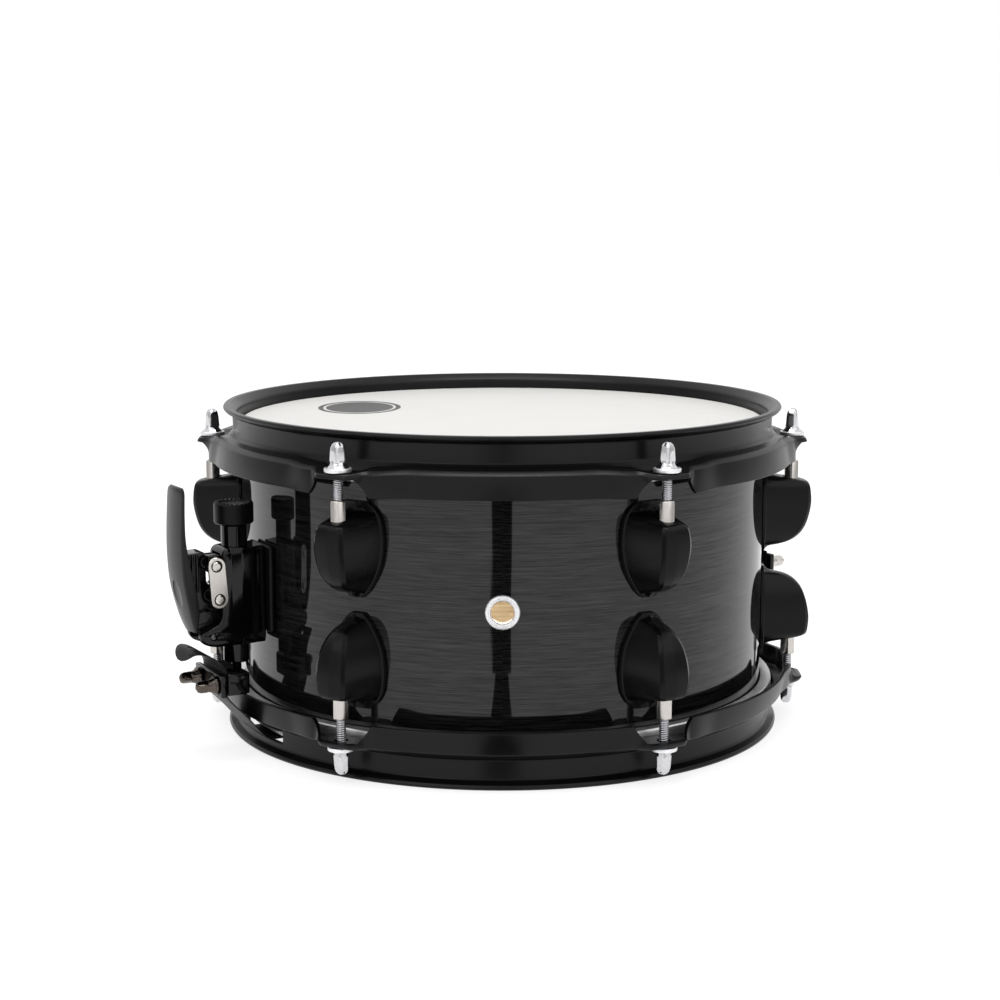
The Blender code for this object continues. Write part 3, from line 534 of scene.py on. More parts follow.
def show(name, mesh, finish, body, place=CENTRE, nodes=()):
    """A piece of the drum: its finish, the CAD body it moves with and the CAD nodes it stands for."""
    mesh = mesh.copy()
    mesh.name = name
    mesh.transform(place)
    piece = new_object(name, mesh)
    if not mesh.materials:
        mesh.materials.append(FINISHES[finish])
    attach(piece, body)
    if nodes:
        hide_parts(*nodes)
    return piece


# ---- shell, vent and heads --------------------------------
def make_shell():
    inner = SHELL_RADIUS - SHELL_WALL
    peak = SHELL_RADIUS - BEARING_EDGE_SETBACK
    shoulder = SHELL_HALF_DEPTH - BEARING_EDGE_SETBACK
    inner_edge = SHELL_HALF_DEPTH - (peak - inner)
    outline = rounded([(peak, SHELL_HALF_DEPTH, 0.4), (SHELL_RADIUS, shoulder, 0.8),
                       (SHELL_RADIUS, -shoulder, 0.8), (peak, -SHELL_HALF_DEPTH, 0.4),
                       (inner, -inner_edge, 0.8), (inner, inner_edge, 0.8)])
    mesh = combined("shell_wood", drawn("shell_wood", turned, outline, 256), [
        ("DIFFERENCE", drawn("vent_hole", bar, (0, -SHELL_RADIUS - 5, 0), (0, -inner + 5, 0), 6.0, 48))])
    mesh.materials.append(FINISHES["lacquer"])
    mesh.materials.append(FINISHES["maple"])
    for face in mesh.polygons:
        radius = math.hypot(face.center.x, face.center.y) / MM
        outwards = Vector((face.center.x, face.center.y, 0)).normalized().dot(face.normal)
        face.material_index = 0 if radius > SHELL_RADIUS - 2.0 and outwards > 0.4 else 1
    show("shell_wood", mesh, "lacquer", "root", nodes=["shell"])


def make_vent():
    """A pressed ring outside and a flat one inside: the bare wood of the hole shows between them."""
    outside = SHELL_RADIUS + 0.3
    inside = SHELL_RADIUS - SHELL_WALL - 0.4
    face = rounded([(4.95, outside + 0.5, 0.5), (5.6, outside + 1.5, 0.9), (7.3, outside + 1.2, 1.1),
                    (7.9, outside, 0.3), (5.85, outside, 0.1), (5.85, outside - 2.6, 0.1),
                    (5.3, outside - 2.6, 0.1)], 6)
    place = CENTRE @ Matrix.Rotation(math.pi / 2, 4, "X")
    show("vent_ring", drawn("vent_ring", turned, face, 96), "washer", "root", place, ["vent_grommet"])
    back = rounded([(6.05, inside, 0.1), (7.2, inside, 0.3), (7.2, inside - 0.8, 0.3),
                    (6.05, inside - 0.8, 0.3)])
    show("vent_back_ring", drawn("vent_back_ring", turned, back, 96), "nickel", "root", place,
         ["vent_grommet"])


def make_head(name, side, film):
    """The film, which turns down over the bearing edge, and the flesh hoop that it is bonded into."""
    over = HEAD_LEVEL + FILM
    corners = [(0, over, 0), (126.0, over, 2.5), (127.9, 69.0, 1.0), (127.9, 60.0, 0.1),
               (127.4, 60.0, 0.1), (127.4, 68.8, 1.0), (125.8, HEAD_LEVEL, 2.5), (0, HEAD_LEVEL, 0)]
    outline = [(r, side * z) for r, z in rounded(corners)]
    show(name + "_film", drawn(name + "_film", turned, outline, 192), film, "root", nodes=[name])
    ring = rounded([(127.5, 60.8, 0.5), (132.75, 60.8, 0.9), (132.75, 55.4, 1.1), (127.5, 55.4, 0.6)])
    ring = [(r, side * z) for r, z in ring]
    show(name + "_flesh_hoop", drawn(name + "_flesh_hoop", turned, ring, 192), "aluminium", "root",
         nodes=[name])


# ---- counter-hoops ----------------------------------------
def share(angle, full, none):
    """1 within one angle of the nearest rod, and easing to 0 at a wider angle."""
    fade = min(max((none - abs(angle)) / (none - full), 0.0), 1.0)
    return fade * fade * (3 - 2 * fade)


def skirt_edge(angle, full):
    """How low the skirt reaches at an angle from the nearest rod: it stops short in the notch."""
    beyond = ROD_CIRCLE * math.sin(abs(angle)) - NOTCH_NARROW
    cut = NOTCH_TOP - NOTCH_SLOPE * max(beyond, 0.0)
    return max(cut, full)


def hoop_section(angle):
    """The pressed steel section at an angle from the nearest rod, as a rounded outline."""
    plate = share(angle, EAR_FLAT, EAR_EDGE)
    flare = share(angle, EAR_EDGE, FLARE_FADE)
    shoulder = Vector((138.3 + 3.6 * flare + 6.7 * plate, 61.1 - 0.6 * flare - 1.7 * plate))
    inner_shoulder = Vector((135.7 + 3.6 * flare + 7.0 * plate, 59.8 - 0.6 * flare - 0.9 * plate))
    foot = Vector((140.2 + 2.4 * flare - 0.8 * plate, 50.9 - 0.6 * flare - 0.6 * plate))
    inner_foot = foot - Vector((2.2, 0.0))
    low = skirt_edge(angle, foot.y)
    outer_end = shoulder.lerp(foot, (shoulder.y - low) / (shoulder.y - foot.y))
    inner_end = inner_shoulder.lerp(inner_foot, max((inner_shoulder.y - low), 0.3)
                                    / (inner_shoulder.y - inner_foot.y))
    return rounded([
        (132.2, 77.8, 0.7), (134.6, 77.8, 0.6), (135.3, 76.7, 0.6), (134.4, 75.6, 0.5), (130.9, 74.2, 1.6),
        (130.6, 65.4, 1.0), (132.2 + 0.8 * flare + 2.0 * plate, 64.0 - 1.2 * flare - 2.1 * plate, 1.6),
        (135.6 + 3.6 * flare + 8.6 * plate, 63.0 - 0.9 * flare - 1.5 * plate, 1.2), (*shoulder, 1.2),
        (*outer_end, 0.5), (*inner_end, 0.5), (*inner_shoulder, 0.8),
        (134.6 - 0.2 * flare - 0.2 * plate, 60.8 - 0.9 * flare - 1.4 * plate, 0.5),
        (133.3, 61.15, 0.3), (128.3, 62.6, 0.5), (128.3, 74.6, 2.5),
    ], 3)


def ring_turns():
    """Turns round a hoop, close together near the ears and wider apart between them."""
    sector = 2 * math.pi / len(LUG_TURNS)
    near = [math.radians(0.3 * step) for step in range(-30, 31)]
    far = [math.radians(angle) for angle in range(10, 51)]
    return [number * sector + angle for number in range(len(LUG_TURNS)) for angle in near + far]


def make_hoop(name, side):
    sector = 2 * math.pi / len(LUG_TURNS)
    rings = []
    for turn in ring_turns():
        from_ear = (turn + sector / 2) % sector - sector / 2
        rings.append(at_turn(turn, [(r, side * z) for r, z in hoop_section(from_ear)]))
    body = drawn(name + "_steel", skin, rings, cyclic=True)
    holes = bmesh.new()
    for turn in LUG_TURNS:
        x, y = ROD_CIRCLE * math.cos(turn), ROD_CIRCLE * math.sin(turn)
        bar(holes, (x, y, side * 54), (x, y, side * 68), EAR_HOLE, 32)
    tools = [("DIFFERENCE", mesh_of(holes, "ear_holes"))]
    if side < 0:
        gates = bmesh.new()
        block(gates, (-150, -GATE_HALF_WIDTH, -GATE_BOTTOM), (150, GATE_HALF_WIDTH, -GATE_TOP), 0.8)
        bmesh.ops.transform(gates, matrix=Matrix.Rotation(turn_of("lever_turn"), 4, "Z"), verts=gates.verts)
        tools.append(("DIFFERENCE", mesh_of(gates, "gates")))
    show(name + "_steel", combined(name + "_steel", body, tools), "black_steel", "root", nodes=[name])


# ---- lugs, nuts and rods ----------------------------------
def lug_ring(height, foot, waist, panel, stand, side):
    """One level section of a lug: its foot on the shell, hollowed flanks and a bevelled outer panel."""
    def on_shell(width):
        return math.sqrt(LUG_BACK ** 2 - width ** 2)

    bulk = min(1.0, max(0.0, (stand - 129.3) / 12.0))
    plate = on_shell(foot) + LUG_PLATE
    shoulder = on_shell(waist) + LUG_PLATE
    right = [
        (on_shell(foot), foot, 0.1), (plate - 0.1, foot, 0.5), (plate - 0.2, foot - 0.7, 0.2),
        (shoulder - 0.1, waist, 0.2 + 0.6 * bulk),
        (max(stand - 2.0, shoulder + 0.1), panel + 0.2, 0.5),
        (max(stand - 0.4, shoulder + 0.2), panel - 1.5, 0.4),
    ]
    left = [(x, -y, r) for x, y, r in reversed(right)]
    outline = rounded([(LUG_BACK, 0.0, 0.1)] + right + [(max(stand, shoulder + 0.3), 0.0, 3.0)] + left, 3)
    return [(x, y, side * height) for x, y in outline]


def make_lugs(prefix, side):
    rings = [lug_ring(*row, side) for row in eased(LUG_SECTIONS, 4)]
    bore = drawn("lug_bore", bar, (ROD_CIRCLE, 0, side * 55), (ROD_CIRCLE, 0, side * LUG_BORE_END),
                 LUG_BORE, 32)
    mesh = combined(prefix + "_lug", drawn(prefix + "_lug", skin, rings), [("DIFFERENCE", bore)])
    for number, turn in enumerate(LUG_TURNS, start=1):
        show(f"{prefix}_lug_casting_{number}", mesh, "black_cast", "root", station(turn),
             [f"{prefix}_lug_{number}"])


def draw_nut(bm, side):
    """A hexagonal swivel nut, chamfered at its mouth, standing in the lug with a flat facing outwards."""
    turns = [math.pi / 3 * (k + 0.5) for k in range(6)]
    corners = [Vector((math.cos(turn), math.sin(turn))) for turn in turns]
    hexagon = []
    for k, corner in enumerate(corners):
        hexagon.append(corner.lerp(corners[k - 1], 0.03))
        hexagon.append(corner.lerp(corners[(k + 1) % 6], 0.03))
    bore = [point.normalized() for point in hexagon]
    rings = [[(ROD_CIRCLE + radius * point.x, radius * point.y, side * height) for point in shape]
             for shape, radius, height in ((bore, NUT_BORE, NUT_TOP), (hexagon, NUT_RADIUS - 0.35, NUT_TOP),
                                           (hexagon, NUT_RADIUS, NUT_TOP - 0.45),
                                           (hexagon, NUT_RADIUS, NUT_BOTTOM), (bore, NUT_BORE, NUT_BOTTOM))]
    skin(bm, rings, cyclic=True)


def draw_rod(bm, side):
    """A tension rod's shaft: a tapered tip, hidden in the nut, and a thread up to the washer."""
    sides = 20
    rings = [[(x, y, side * height) for x, y in circle(radius, sides)]
             for radius, height in ((0.4, 24.2), (ROD_RADIUS, 25.4))]
    rows = int((WASHER_SEAT - THREAD_START) / THREAD_PITCH * 6)
    for row in range(rows + 1):
        height = THREAD_START + (WASHER_SEAT + 0.4 - THREAD_START) * row / rows
        ring = []
        for k, (x, y) in enumerate(circle(1.0, sides)):
            wave = (height / THREAD_PITCH + k / sides) % 1.0
            depth = THREAD_DEPTH * (1 - abs(2 * wave - 1))
            threaded = THREAD_START + 0.5 < height < WASHER_SEAT - 0.4
            radius = ROD_RADIUS - depth if threaded else ROD_RADIUS
            ring.append((radius * x, radius * y, side * height))
        rings.append(ring)
    skin(bm, rings)


def draw_head(bm, side):
    """The rod's flange and its key head, tapered to a dome."""
    sides = 32
    flange = ((2.0, 62.6), (5.0, 62.6), (5.0, 62.9), (4.5, 63.4), (3.7, 64.1), (3.25, 64.9))
    key = ((2.95, 65.3), (2.9, 66.2), (2.7, 69.4), (2.5, 71.4), (2.05, 72.8), (1.3, 73.6), (0.6, 73.9))
    rings = [[(x, y, side * height) for x, y in circle(radius, sides)] for radius, height in flange]
    rings += [[(x, y, side * height) for x, y in squared(half, sides, 6)] for half, height in key]
    skin(bm, rings)


def make_rods(prefix, side):
    head = drawn("key_head", draw_head, side)
    low, high = sorted((side * 72.3, side * 80))
    slot = drawn("key_slot", block, (-4, -0.5, low), (4, 0.5, high), 0)
    head = combined("key_head", head, [("DIFFERENCE", slot)])
    thread = drawn("thread", draw_rod, side, sharp=60)
    outline = rounded([(2.5, 62.8, 0.2), (6.1, 62.8, 0.6), (6.1, WASHER_SEAT, 0.4),
                       (2.5, WASHER_SEAT, 0.2)])
    washer = drawn("rod_washer", turned, [(r, side * z) for r, z in outline], 48)
    nut = drawn("swivel_nut", draw_nut, side)
    for number, turn in enumerate(LUG_TURNS, start=1):
        at_rod = station(turn) @ Matrix.Translation((ROD_CIRCLE * MM, 0, 0))
        body = f"{prefix}_rod_{number}"
        node = f"{prefix}_tension_rod_{number}"
        twist = Matrix.Rotation(math.radians(20 + 47 * number), 4, "Z")
        show(f"{prefix}_rod_thread_{number}", thread, "thread_steel", body, at_rod, [node])
        show(f"{prefix}_rod_key_head_{number}", head, "chrome", body, at_rod @ twist, [node])
        show(f"{prefix}_rod_washer_{number}", washer, "washer", body, at_rod, [node])
        show(f"{prefix}_nut_{number}", nut, "nickel", "root", station(turn),
             [f"{prefix}_swivel_nut_{number}"])


# ---- throw-off --------------------------------------------
def housing_ring(height, front, front_half, post_half, back_half):
    """One level section of the housing: a block on the shell that swells round the post."""
    right = [(130.3, back_half, 1.0), (134.5, back_half, 1.5), (137.0, post_half - 0.4, 2.0),
             (142.0, post_half, 4.0), (147.0, front_half, 2.0), (front, front_half, 1.8)]
    left = [(x, -y, r) for x, y, r in reversed(right)]
    return [(x, y, height) for x, y in rounded(right + left, 4)]


def make_housing():
    rings = [housing_ring(*row) for row in eased(HOUSING_SECTIONS, 4)]
    tools = [
        ("DIFFERENCE", drawn("arm_slot", block, (POST_X, -5.0, -1.5), (157, 5.0, 17.0), 0.4)),
        ("DIFFERENCE", drawn("lever_slot", block, (151.7, -5.6, -31), (168, 5.6, -11), 0.4)),
        ("DIFFERENCE", drawn("post_bore", bar, (POST_X, 0, -40), (POST_X, 0, 30), 6.4, 48)),
        ("DIFFERENCE", drawn("pin_hole", bar, (LEVER_X, -14, LEVER_Z), (LEVER_X, 14, LEVER_Z), 1.8, 24)),
    ]
    mesh = combined("housing_casting", drawn("housing_casting", skin, rings), tools)
    show("housing_casting", mesh, "black_gloss", "root", THROW_OFF, ["throw_off_housing"])
    plate = drawn("base_plate", block, (127.4, -12.2, -21.0), (129.95, 12.2, 19.0), 1.2, 4)
    show("base_plate", plate, "black_moulded", "root", THROW_OFF, ["throw_off_base_plate"])
    pin = rounded([(0, 9.2, 0), (1.5, 9.2, 0.5), (1.5, -9.2, 0.5), (0, -9.2, 0)])
    at_pivot = THROW_OFF @ Matrix.Translation((LEVER_X * MM, 0, LEVER_Z * MM))
    lying = at_pivot @ Matrix.Rotation(math.pi / 2, 4, "X")
    show("pivot_pin", drawn("pivot_pin", turned, pin, 32), "dark_chrome", "root", lying,
         ["lever_pivot_pin"])


def make_post():
    """The sliding post with its arm, and the knob on its spindle: teeth cross the knob's top edge."""
    at_post = THROW_OFF @ Matrix.Translation((POST_X * MM, 0, 0))
    outline = rounded([(2.7, 29.2, 0.2), (6.0, 29.2, 0.6), (6.0, -34.8, 0.6), (2.7, -34.8, 0.2)])
    tools = [("UNION", drawn("arm", block, (3.5, -4.6, 8.4), (156.7 - POST_X, 4.6, 16.2), 0.5)),
             ("UNION", drawn("arm_pin", bar, (ARM_X - POST_X, 0, ARM_Z), (ARM_X - POST_X, PIN_REACH, ARM_Z),
                             PIN_RADIUS))]
    mesh = combined("post_tube", drawn("post_tube", turned, outline, 64), tools)
    show("post_tube", mesh, "black_gloss", "carriage", at_post, ["throw_off_post"])

    rings = []
    for step in range(96):
        turn = 2 * math.pi * step / 96
        raised = 0.45 if step % 4 < 2 else 0.0
        outline = rounded([(0, 38.9, 0), (6.6, 38.9, 0.3), (7.0, 39.2 + raised, 0.2),
                           (8.7, 39.2 + raised, 0.4), (9.1, 38.6, 0.4), (9.1, 30.3, 0.5),
                           (8.5, 29.7, 0.3), (2.2, 29.7, 0.1), (2.2, -40.5, 0.1), (0, -40.5, 0)], 3)
        rings.append(at_turn(turn, outline))
    bm = bmesh.new()
    skin(bm, rings, cyclic=True)
    bmesh.ops.remove_doubles(bm, verts=bm.verts, dist=1e-4)
    show("knob", mesh_of(bm, "knob"), "black_moulded", "knob", at_post, ["tension_knob"])


def handle_ring(height, outer, inner, half):
    """One level section of the handle: flat inside, with a gently crowned outer face."""
    crown = [(outer - 0.9 * (y / (half - 0.9)) ** 2, y, 0.3)
             for y in [(half - 0.9) * step / 6 for step in range(6, -7, -1)]]
    right = [(inner, half, 0.4), (outer - 1.4, half, 0.5)]
    left = [(outer - 1.4, -half, 0.5), (inner, -half, 0.4)]
    return [(x, y, height) for x, y in rounded(right + crown + left, 3)]


def side_plate(outline, half, edge):
    """A plate seen from the side as an outline of (distance, height), with eased edges."""
    count = len(outline)
    middle = sum(outline, Vector((0, 0))) / count
    rings = []
    for y, shrink in ((-half, edge), (edge - half, 0.0), (half - edge, 0.0), (half, edge)):
        ring = []
        for i, point in enumerate(outline):
            along = outline[(i + 1) % count] - outline[i - 1]
            inwards = Vector((-along.y, along.x)).normalized()
            if inwards.dot(middle - point) < 0:
                inwards.negate()
            ring.append((point.x + inwards.x * shrink, y, point.y + inwards.y * shrink))
        rings.append(ring)
    bm = bmesh.new()
    skin(bm, rings)
    return mesh_of(bm, "side_plate")


def make_lever():
    """The handle, and behind it the web that carries the pins, with a knuckle and three ribs."""
    rings = [handle_ring(*row) for row in eased(HANDLE_SECTIONS, 5)]
    handle = combined("lever_handle", drawn("lever_handle", skin, rings), [("DIFFERENCE", recess_tool())])
    show("lever_handle", handle, "black_satin", "lever", THROW_OFF, ["throw_off_lever"])
    web_outline = [
        (168.6, 18.2, 1), (158.2, 18.6, 2), (157.6, 3.6, 2), (152.4, 1.6, 1.5), (152.2, -7.6, 2),
        (153.6, -14.0, 2), (152.7, -18.0, 0.6), (156.5, -24.4, 3), (160.6, -19.0, 1), (165.0, -14.2, 1),
        (167.0, -6.0, 2), (169.2, 6.0, 3),
    ]
    knuckle_outline = [
        (152.3, -13.0, 0.5), (152.4, -9.4, 1.6), (157.5, -8.2, 3), (163.6, -9.4, 1.5), (165.4, -13.0, 1),
        (164.2, -15.0, 0.6), (160.8, -14.1, 2), (156.6, -13.2, 2),
    ]
    web = side_plate(rounded(web_outline, 4), 4.4, 0.4)
    knuckle = side_plate(rounded(knuckle_outline, 5), 7.8, 0.6)
    pin = drawn("lever_pin", bar, (LINK_X, 0, LINK_Z), (LINK_X, PIN_REACH, LINK_Z), PIN_RADIUS)
    tools = [("UNION", knuckle), ("UNION", pin),
             ("DIFFERENCE", drawn("lever_hole", bar, (LEVER_X, -12, LEVER_Z), (LEVER_X, 12, LEVER_Z), 1.8))]
    for x in (162.2, 164.4, 166.6):
        rib = drawn("rib", block, (x - 0.7, -5.4, -4.0 + 0.8 * (167 - x)), (x + 0.7, 5.4, 17.4), 0.5)
        tools.append(("UNION", rib))
    mesh = combined("lever_web", web, tools)
    show("lever_web", mesh, "black_gloss", "lever", THROW_OFF, ["throw_off_lever"])


def recess_tool():
    """A shallow plain oval hollow low on the handle's outer face."""
    rings = [[(x, 5.0 * across * grow, 7.5 * up * grow) for across, up in circle(1.0, 48)]
             for x, grow in ((-0.75, 0.80), (-0.6, 0.90), (0.0, 1.0), (3.0, 1.04))]
    bm = bmesh.new()
    skin(bm, rings)
    place = Matrix.Translation((170.5, 0, -1.0)) @ Matrix.Rotation(math.radians(9), 4, "Y")
    bmesh.ops.transform(bm, matrix=place, verts=bm.verts)
    return mesh_of(bm, "lever_recess")


def make_link():
    """The link from the lever's pin to the post's: a plate with round ends, and a rivet sunk in each."""
    reach = Vector((ARM_X - LINK_X, 0, ARM_Z - LINK_Z))
    along = reach.normalized()
    side = Vector((along.z, 0, -along.x))
    outline = []
    for middle, start in ((Vector((0, 0, 0)), math.pi), (reach, 0.0)):
        for step in range(17):
            angle = start + math.pi * step / 16
            outline.append(middle + 4.1 * (side * math.cos(angle) + along * math.sin(angle)))
    centre = reach / 2
    rings = []
    for y, shrink in ((10.1, 0.25), (10.3, 0.0), (11.0, 0.0), (11.3, 0.3)):
        rings.append([p + (centre - p).normalized() * shrink + Vector((0, y, 0)) for p in outline])
    bm = bmesh.new()
    skin(bm, rings)
    wells = bmesh.new()
    for middle in (Vector((0, 0, 0)), reach):
        bar(wells, middle + Vector((0, 9.9, 0)), middle + Vector((0, 12, 0)), 2.75, 40)
    mesh = combined("link_plate", mesh_of(bm, "link_plate"), [("DIFFERENCE", mesh_of(wells, "wells"))])
    place = THROW_OFF @ Matrix.Translation((LINK_X * MM, 0, LINK_Z * MM))
    show("link_plate", mesh, "nickel", "link", place, ["throw_off_link"])
    rivet = rounded([(0, 12.2, 0), (1.5, 12.2, 0.5), (2.2, 11.6, 0.4), (2.2, 10.1, 0.1), (0, 10.1, 0)])
    upright = Matrix.Rotation(-math.pi / 2, 4, "X")
    mesh = drawn("link_rivet", turned, rivet, 40)
    for number, middle in enumerate((Vector((0, 0, 0)), reach), start=1):
        at = place @ Matrix.Translation(middle * MM) @ upright
        show(f"link_rivet_{number}", mesh, "nickel", "link", at, ["throw_off_link"])


# ---- clamps, straps and snare wires -----------------------
def draw_screw(bm):
    """A key screw along X: shank, collar, cone and a key head whose end is rounded."""
    sides = 32
    stem = ((-11.2, 1.2), (-10.8, 1.9), (0.0, 1.9), (0.0, 4.2), (0.3, 4.4), (1.2, 4.4), (1.5, 4.2),
            (1.5, 3.7), (2.1, 3.4), (3.2, 2.9), (4.2, 2.7))
    key = ((4.6, 2.3), (5.2, 2.35), (8.0, 2.25), (9.1, 1.9), (9.7, 1.1), (9.8, 0.5))
    rings = [[(x, y, z) for y, z in circle(radius, sides)] for x, radius in stem]
    rings += [[(x, y, z) for y, z in squared(half, sides, 5)] for x, half in key]
    skin(bm, rings)


def make_clamp(place, prefix, body, top, screw_finish):
    holes = bmesh.new()
    middle = top - CLAMP_HEIGHT / 2
    for y in (-SCREW_SPREAD, SCREW_SPREAD):
        bar(holes, (150, y, middle), (160, y, middle), 2.2, 32)
    plate = drawn("plate", block, (PLATE_BACK, -16, top - CLAMP_HEIGHT), (PLATE_FACE, 16, top), 0.7)
    mesh = combined(prefix + "_plate", plate, [("DIFFERENCE", mesh_of(holes, "holes"))])
    show(prefix + "_plate", mesh, "black_gloss", body, place, [prefix + "_clamp_plate"])
    screw = drawn("clamp_screw", draw_screw)
    for number, y in enumerate((-SCREW_SPREAD, SCREW_SPREAD), start=1):
        twist = Matrix.Rotation(math.radians(35 * number), 4, "X")
        at_screw = place @ Matrix.Translation(((PLATE_FACE + 0.3) * MM, y * MM, middle * MM)) @ twist
        show(f"{prefix}_key_screw_{number}", screw, screw_finish, body, at_screw,
             [f"{prefix}_clamp_screw_{number}"])


def make_blocks():
    for place, body, node, low, high, foot in (
        (THROW_OFF, "carriage", "throw_off_clamp_block", (141.1, -13.6, CLAMP_TOP - CLAMP_HEIGHT),
         (CLAMP_FACE, 13.6, CLAMP_TOP), None),
        (BUTT, "root", "butt_block", (130.0, -12.6, BUTT_CLAMP_TOP - CLAMP_HEIGHT),
         (CLAMP_FACE, 12.6, BUTT_CLAMP_TOP), ((127.4, -13, -34), (131.5, 13, -6))),
    ):
        middle = (low[2] + high[2]) / 2
        holes = bmesh.new()
        for y in (-SCREW_SPREAD, SCREW_SPREAD):
            bar(holes, (144.5, y, middle), (160, y, middle), 2.2, 32)
        tools = [("DIFFERENCE", mesh_of(holes, "holes"))]
        if foot:
            tools.insert(0, ("UNION", drawn("foot", block, *foot, 1.2)))
        else:
            tools.append(("DIFFERENCE", drawn("socket", bar, (POST_X, 0, high[2] + 5),
                                              (POST_X, 0, high[2] - 9.5), 2.7, 32)))
        mesh = combined(node + "_casting", drawn(node, block, low, high, 1.2), tools)
        show(node + "_casting", mesh, "black_gloss", body, place, [node])


def strap_rings(route, round_end):
    """A flat strap along a route of (distance, height) points, with its outer end rounded."""
    path = [Vector((x, 0, z)) for x, z in eased(route, 6)]
    lengths = [0.0]
    for first, second in zip(path, path[1:]):
        lengths.append(lengths[-1] + (second - first).length)
    rings = []
    for i, point in enumerate(path):
        along = (path[min(i + 1, len(path) - 1)] - path[max(i - 1, 0)]).normalized()
        normal = Vector((-along.z, 0, along.x)) * STRAP_THICKNESS / 2
        to_end = lengths[-1] - lengths[i]
        width = STRAP_HALF_WIDTH
        if to_end < round_end:
            width *= math.sqrt(max(1 - ((round_end - to_end) / round_end) ** 2, 0.02))
        upper = [(-1, 0.5), (-0.97, 1), (-0.5, 1), (0, 1), (0.5, 1), (0.97, 1), (1, 0.5)]
        lower = [(across, -up) for across, up in reversed(upper)]
        rings.append([point + normal * up + Vector((0, width * across, 0)) for across, up in upper + lower])
    return rings


# Both straps' route under the lower head and out through the hoop's gate, as (distance, height).
UNDER_HEAD = [(93, -71.05), (112, -71.05), (126, -71.05), (130.5, -70.9), (133.5, -69.6), (136.5, -66.5),
              (143, -58.5)]


def strap_holes(top, extra=()):
    """The clamp screws' holes through a strap, and any slots as (low, high) boxes."""
    bm = bmesh.new()
    for y in (-SCREW_SPREAD, SCREW_SPREAD):
        bar(bm, (148, y, top - CLAMP_HEIGHT / 2), (158, y, top - CLAMP_HEIGHT / 2), 2.2, 32)
    for low, high in extra:
        block(bm, low, high, 0.6)
    return mesh_of(bm, "strap_holes")


def make_straps():
    route = UNDER_HEAD + [(150.6, -51.0), (152.8, -47.5), (152.9, -44), (152.9, -38.5), (153.0, -35.4),
                          (154.6, -32.6), (157.6, -30.2), (161.5, -27.9), (165.4, -26.9), (168.2, -28.2),
                          (170.0, -31.6)]
    slots = [((158.5, 3, -40), (164.5, 5.4, -20)), ((158.5, -5.4, -40), (164.5, -3, -20))]
    mesh = combined("throw_off_strap_band", drawn("band", skin, strap_rings(route, 12.5)),
                    [("DIFFERENCE", strap_holes(CLAMP_TOP, slots))])
    mesh.transform(THROW_OFF)
    mesh.materials.append(FINISHES["strap"])
    strap = new_object("throw_off_strap_band", mesh)
    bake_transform(strap)
    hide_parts("throw_off_strap")

    route = UNDER_HEAD + [(149.5, -48.5), (152.6, -38), (152.9, -28), (152.9, -22), (152.9, -14),
                          (152.9, -9.2)]
    mesh = combined("butt_strap_band", drawn("band", skin, strap_rings(route, 0.0)),
                    [("DIFFERENCE", strap_holes(BUTT_CLAMP_TOP))])
    show("butt_strap_band", mesh, "strap", "root", BUTT, ["butt_strap"])


def make_snare_wires():
    half_width = STRAND_PITCH * STRAND_COUNT / 2
    start = SNARE_HALF_LENGTH - SNARE_PLATE_LENGTH
    bm = bmesh.new()
    for low, high in ((-SNARE_HALF_LENGTH, -start), (start, SNARE_HALF_LENGTH)):
        block(bm, (low, -half_width, STRAND_HEIGHT - 0.5), (high, half_width, STRAND_HEIGHT + 0.9), 0.35, 2)
    show("snare_end_plates", mesh_of(bm, "snare_end_plates"), "nickel", "root", THROW_OFF,
         ["snare_wires"])
    bm = bmesh.new()
    pitch, coil, per_turn = 1.7, 0.56, 7
    count = int(2 * (start + 3) / pitch * per_turn)
    for number in range(STRAND_COUNT):
        y = (number - (STRAND_COUNT - 1) / 2) * STRAND_PITCH
        path = []
        for step in range(count + 1):
            turn = 2 * math.pi * step / per_turn
            path.append(Vector((-start - 3 + step * pitch / per_turn, y + coil * math.cos(turn),
                                STRAND_HEIGHT + coil * math.sin(turn))))
        tube(bm, path, 0.22, 4)
    show("snare_strands", mesh_of(bm, "snare_strands", 80), "wire_steel", "root", THROW_OFF,
         ["snare_wires"])


# ---- studio -----------------------------------------------
def make_camera():
    """The photograph's own viewpoint: a long lens, a little above the drum and straight in front."""
    data = bpy.data.cameras.new("camera")
    data.lens = 74.0
    data.sensor_width = 36.0
    camera = new_object("camera", data)
    camera.location = (-0.0011, -0.998, MIDDLE + 0.192)
    camera.rotation_euler = (math.radians(90 - 9.3), 0, 0)
    bpy.context.scene.camera = camera


def soft_light(name, place, aim, size, power):
    data = bpy.data.lights.new(name, "AREA")
    data.shape = "RECTANGLE"
    data.size, data.size_y = size
    data.energy = power
    light = new_object(name, data)
    light.location = place
    light.rotation_euler = (Vector(aim) - Vector(place)).to_track_quat("-Z", "Y").to_euler()


def stage_piece(name, bm, finish):
    mesh = mesh_of(bm, name)
    mesh.materials.append(finish)
    piece = new_object(name, mesh)
    return piece


def make_floor():
    """A wide pale disc that glows a little, so that it is evenly lit."""
    lit_acrylic = Graph("floor", (0.35, 0.35, 0.35), 0.8, specular=0.1)
    lit_acrylic.shader.inputs["Emission Color"].default_value = (1.0, 1.0, 1.0, 1.0)
    lit_acrylic.shader.inputs["Emission Strength"].default_value = 0.74
    bm = bmesh.new()
    bmesh.ops.create_circle(bm, cap_ends=True, segments=96, radius=40000)
    bmesh.ops.translate(bm, vec=(0, 0, -0.2), verts=bm.verts)
    stage_piece("floor", bm, lit_acrylic.material)


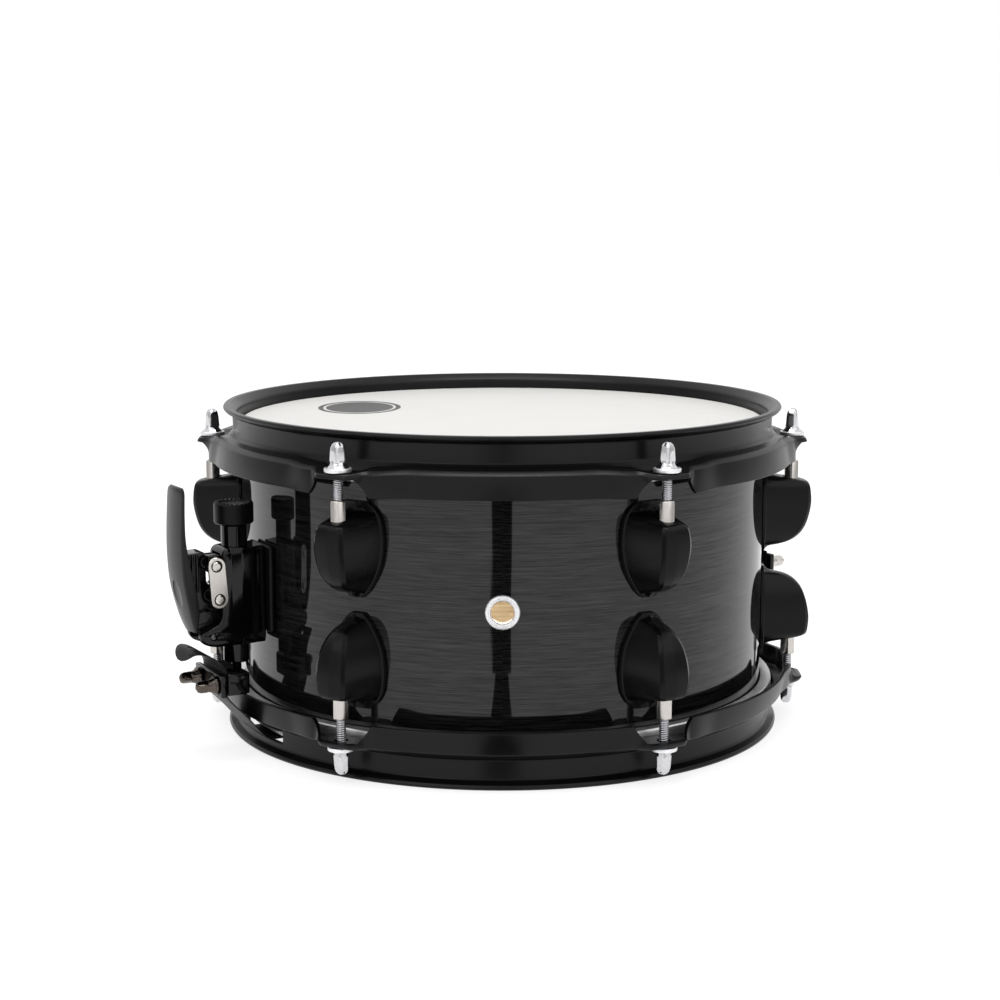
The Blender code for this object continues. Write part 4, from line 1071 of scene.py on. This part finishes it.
def make_flag():
    """Black cards before the drum, one upright and one on the floor, that only reflections show."""
    black = Graph("flag", (0.004, 0.004, 0.004), 0.9, specular=0.0)
    bm = bmesh.new()
    block(bm, (-19, -302, 1), (17, -300, 160), 0)
    block(bm, (-13, -300, 0.2), (11, -152, 1.2), 0)
    flag = stage_piece("flag", bm, black.material)
    flag.visible_camera = False
    flag.visible_diffuse = False
    flag.visible_shadow = False


def make_backdrop():
    """White all round, and in reflections darker towards both sides."""
    world = bpy.data.worlds.new("studio")
    world.use_nodes = True
    nodes, links = world.node_tree.nodes, world.node_tree.links
    backdrop = nodes["Background"]
    backdrop.inputs["Color"].default_value = (1.0, 1.0, 1.0, 1.0)
    axes = nodes.new("ShaderNodeSeparateXYZ")
    links.new(nodes.new("ShaderNodeTexCoord").outputs["Generated"], axes.inputs[0])
    sideways = nodes.new("ShaderNodeMath")
    sideways.operation = "ABSOLUTE"
    links.new(axes.outputs["X"], sideways.inputs[0])
    strength = nodes.new("ShaderNodeMapRange")
    for name, value in (("From Min", 0.70), ("From Max", 0.97), ("To Min", 1.0), ("To Max", 0.52)):
        strength.inputs[name].default_value = value
    links.new(sideways.outputs[0], strength.inputs["Value"])
    seen = nodes.new("ShaderNodeMath")
    seen.operation = "MAXIMUM"
    links.new(strength.outputs[0], seen.inputs[0])
    links.new(nodes.new("ShaderNodeLightPath").outputs["Is Camera Ray"], seen.inputs[1])
    links.new(seen.outputs[0], backdrop.inputs["Strength"])
    bpy.context.scene.world = world


def make_lights():
    soft_light("key", (-0.9, -1.0, 1.5), (0, 0, 0.1), (1.2, 1.2), 4.5)
    soft_light("fill", (1.1, -0.7, 1.2), (0, 0, 0.1), (1.2, 1.2), 3)
    soft_light("overhead", (0, -0.1, 1.4), (0, 0, 0.1), (0.9, 0.30), 6.0)
    inside = bpy.data.lights.new("inside", "POINT")
    inside.energy = 0.30
    inside.shadow_soft_size = 0.04
    inside.color = (1.0, 0.98, 0.92)
    new_object("inside", inside).location = (0, 0.02, MIDDLE)
    bpy.context.scene.view_settings.view_transform = "Standard"


make_shell()
make_vent()
make_head("batter_head", 1, "batter_film")
make_head("snare_side_head", -1, "snare_film")
make_hoop("batter_hoop", 1)
make_hoop("snare_side_hoop", -1)
for prefix, side in (("batter", 1), ("snare_side", -1)):
    make_lugs(prefix, side)
    make_rods(prefix, side)
make_housing()
make_post()
make_lever()
make_link()
make_blocks()
make_clamp(THROW_OFF, "throw_off", "carriage", CLAMP_TOP, "bronze_nickel")
make_clamp(BUTT, "butt", "root", BUTT_CLAMP_TOP, "nickel")
make_straps()
make_snare_wires()
make_camera()
make_floor()
make_flag()
make_backdrop()
make_lights()
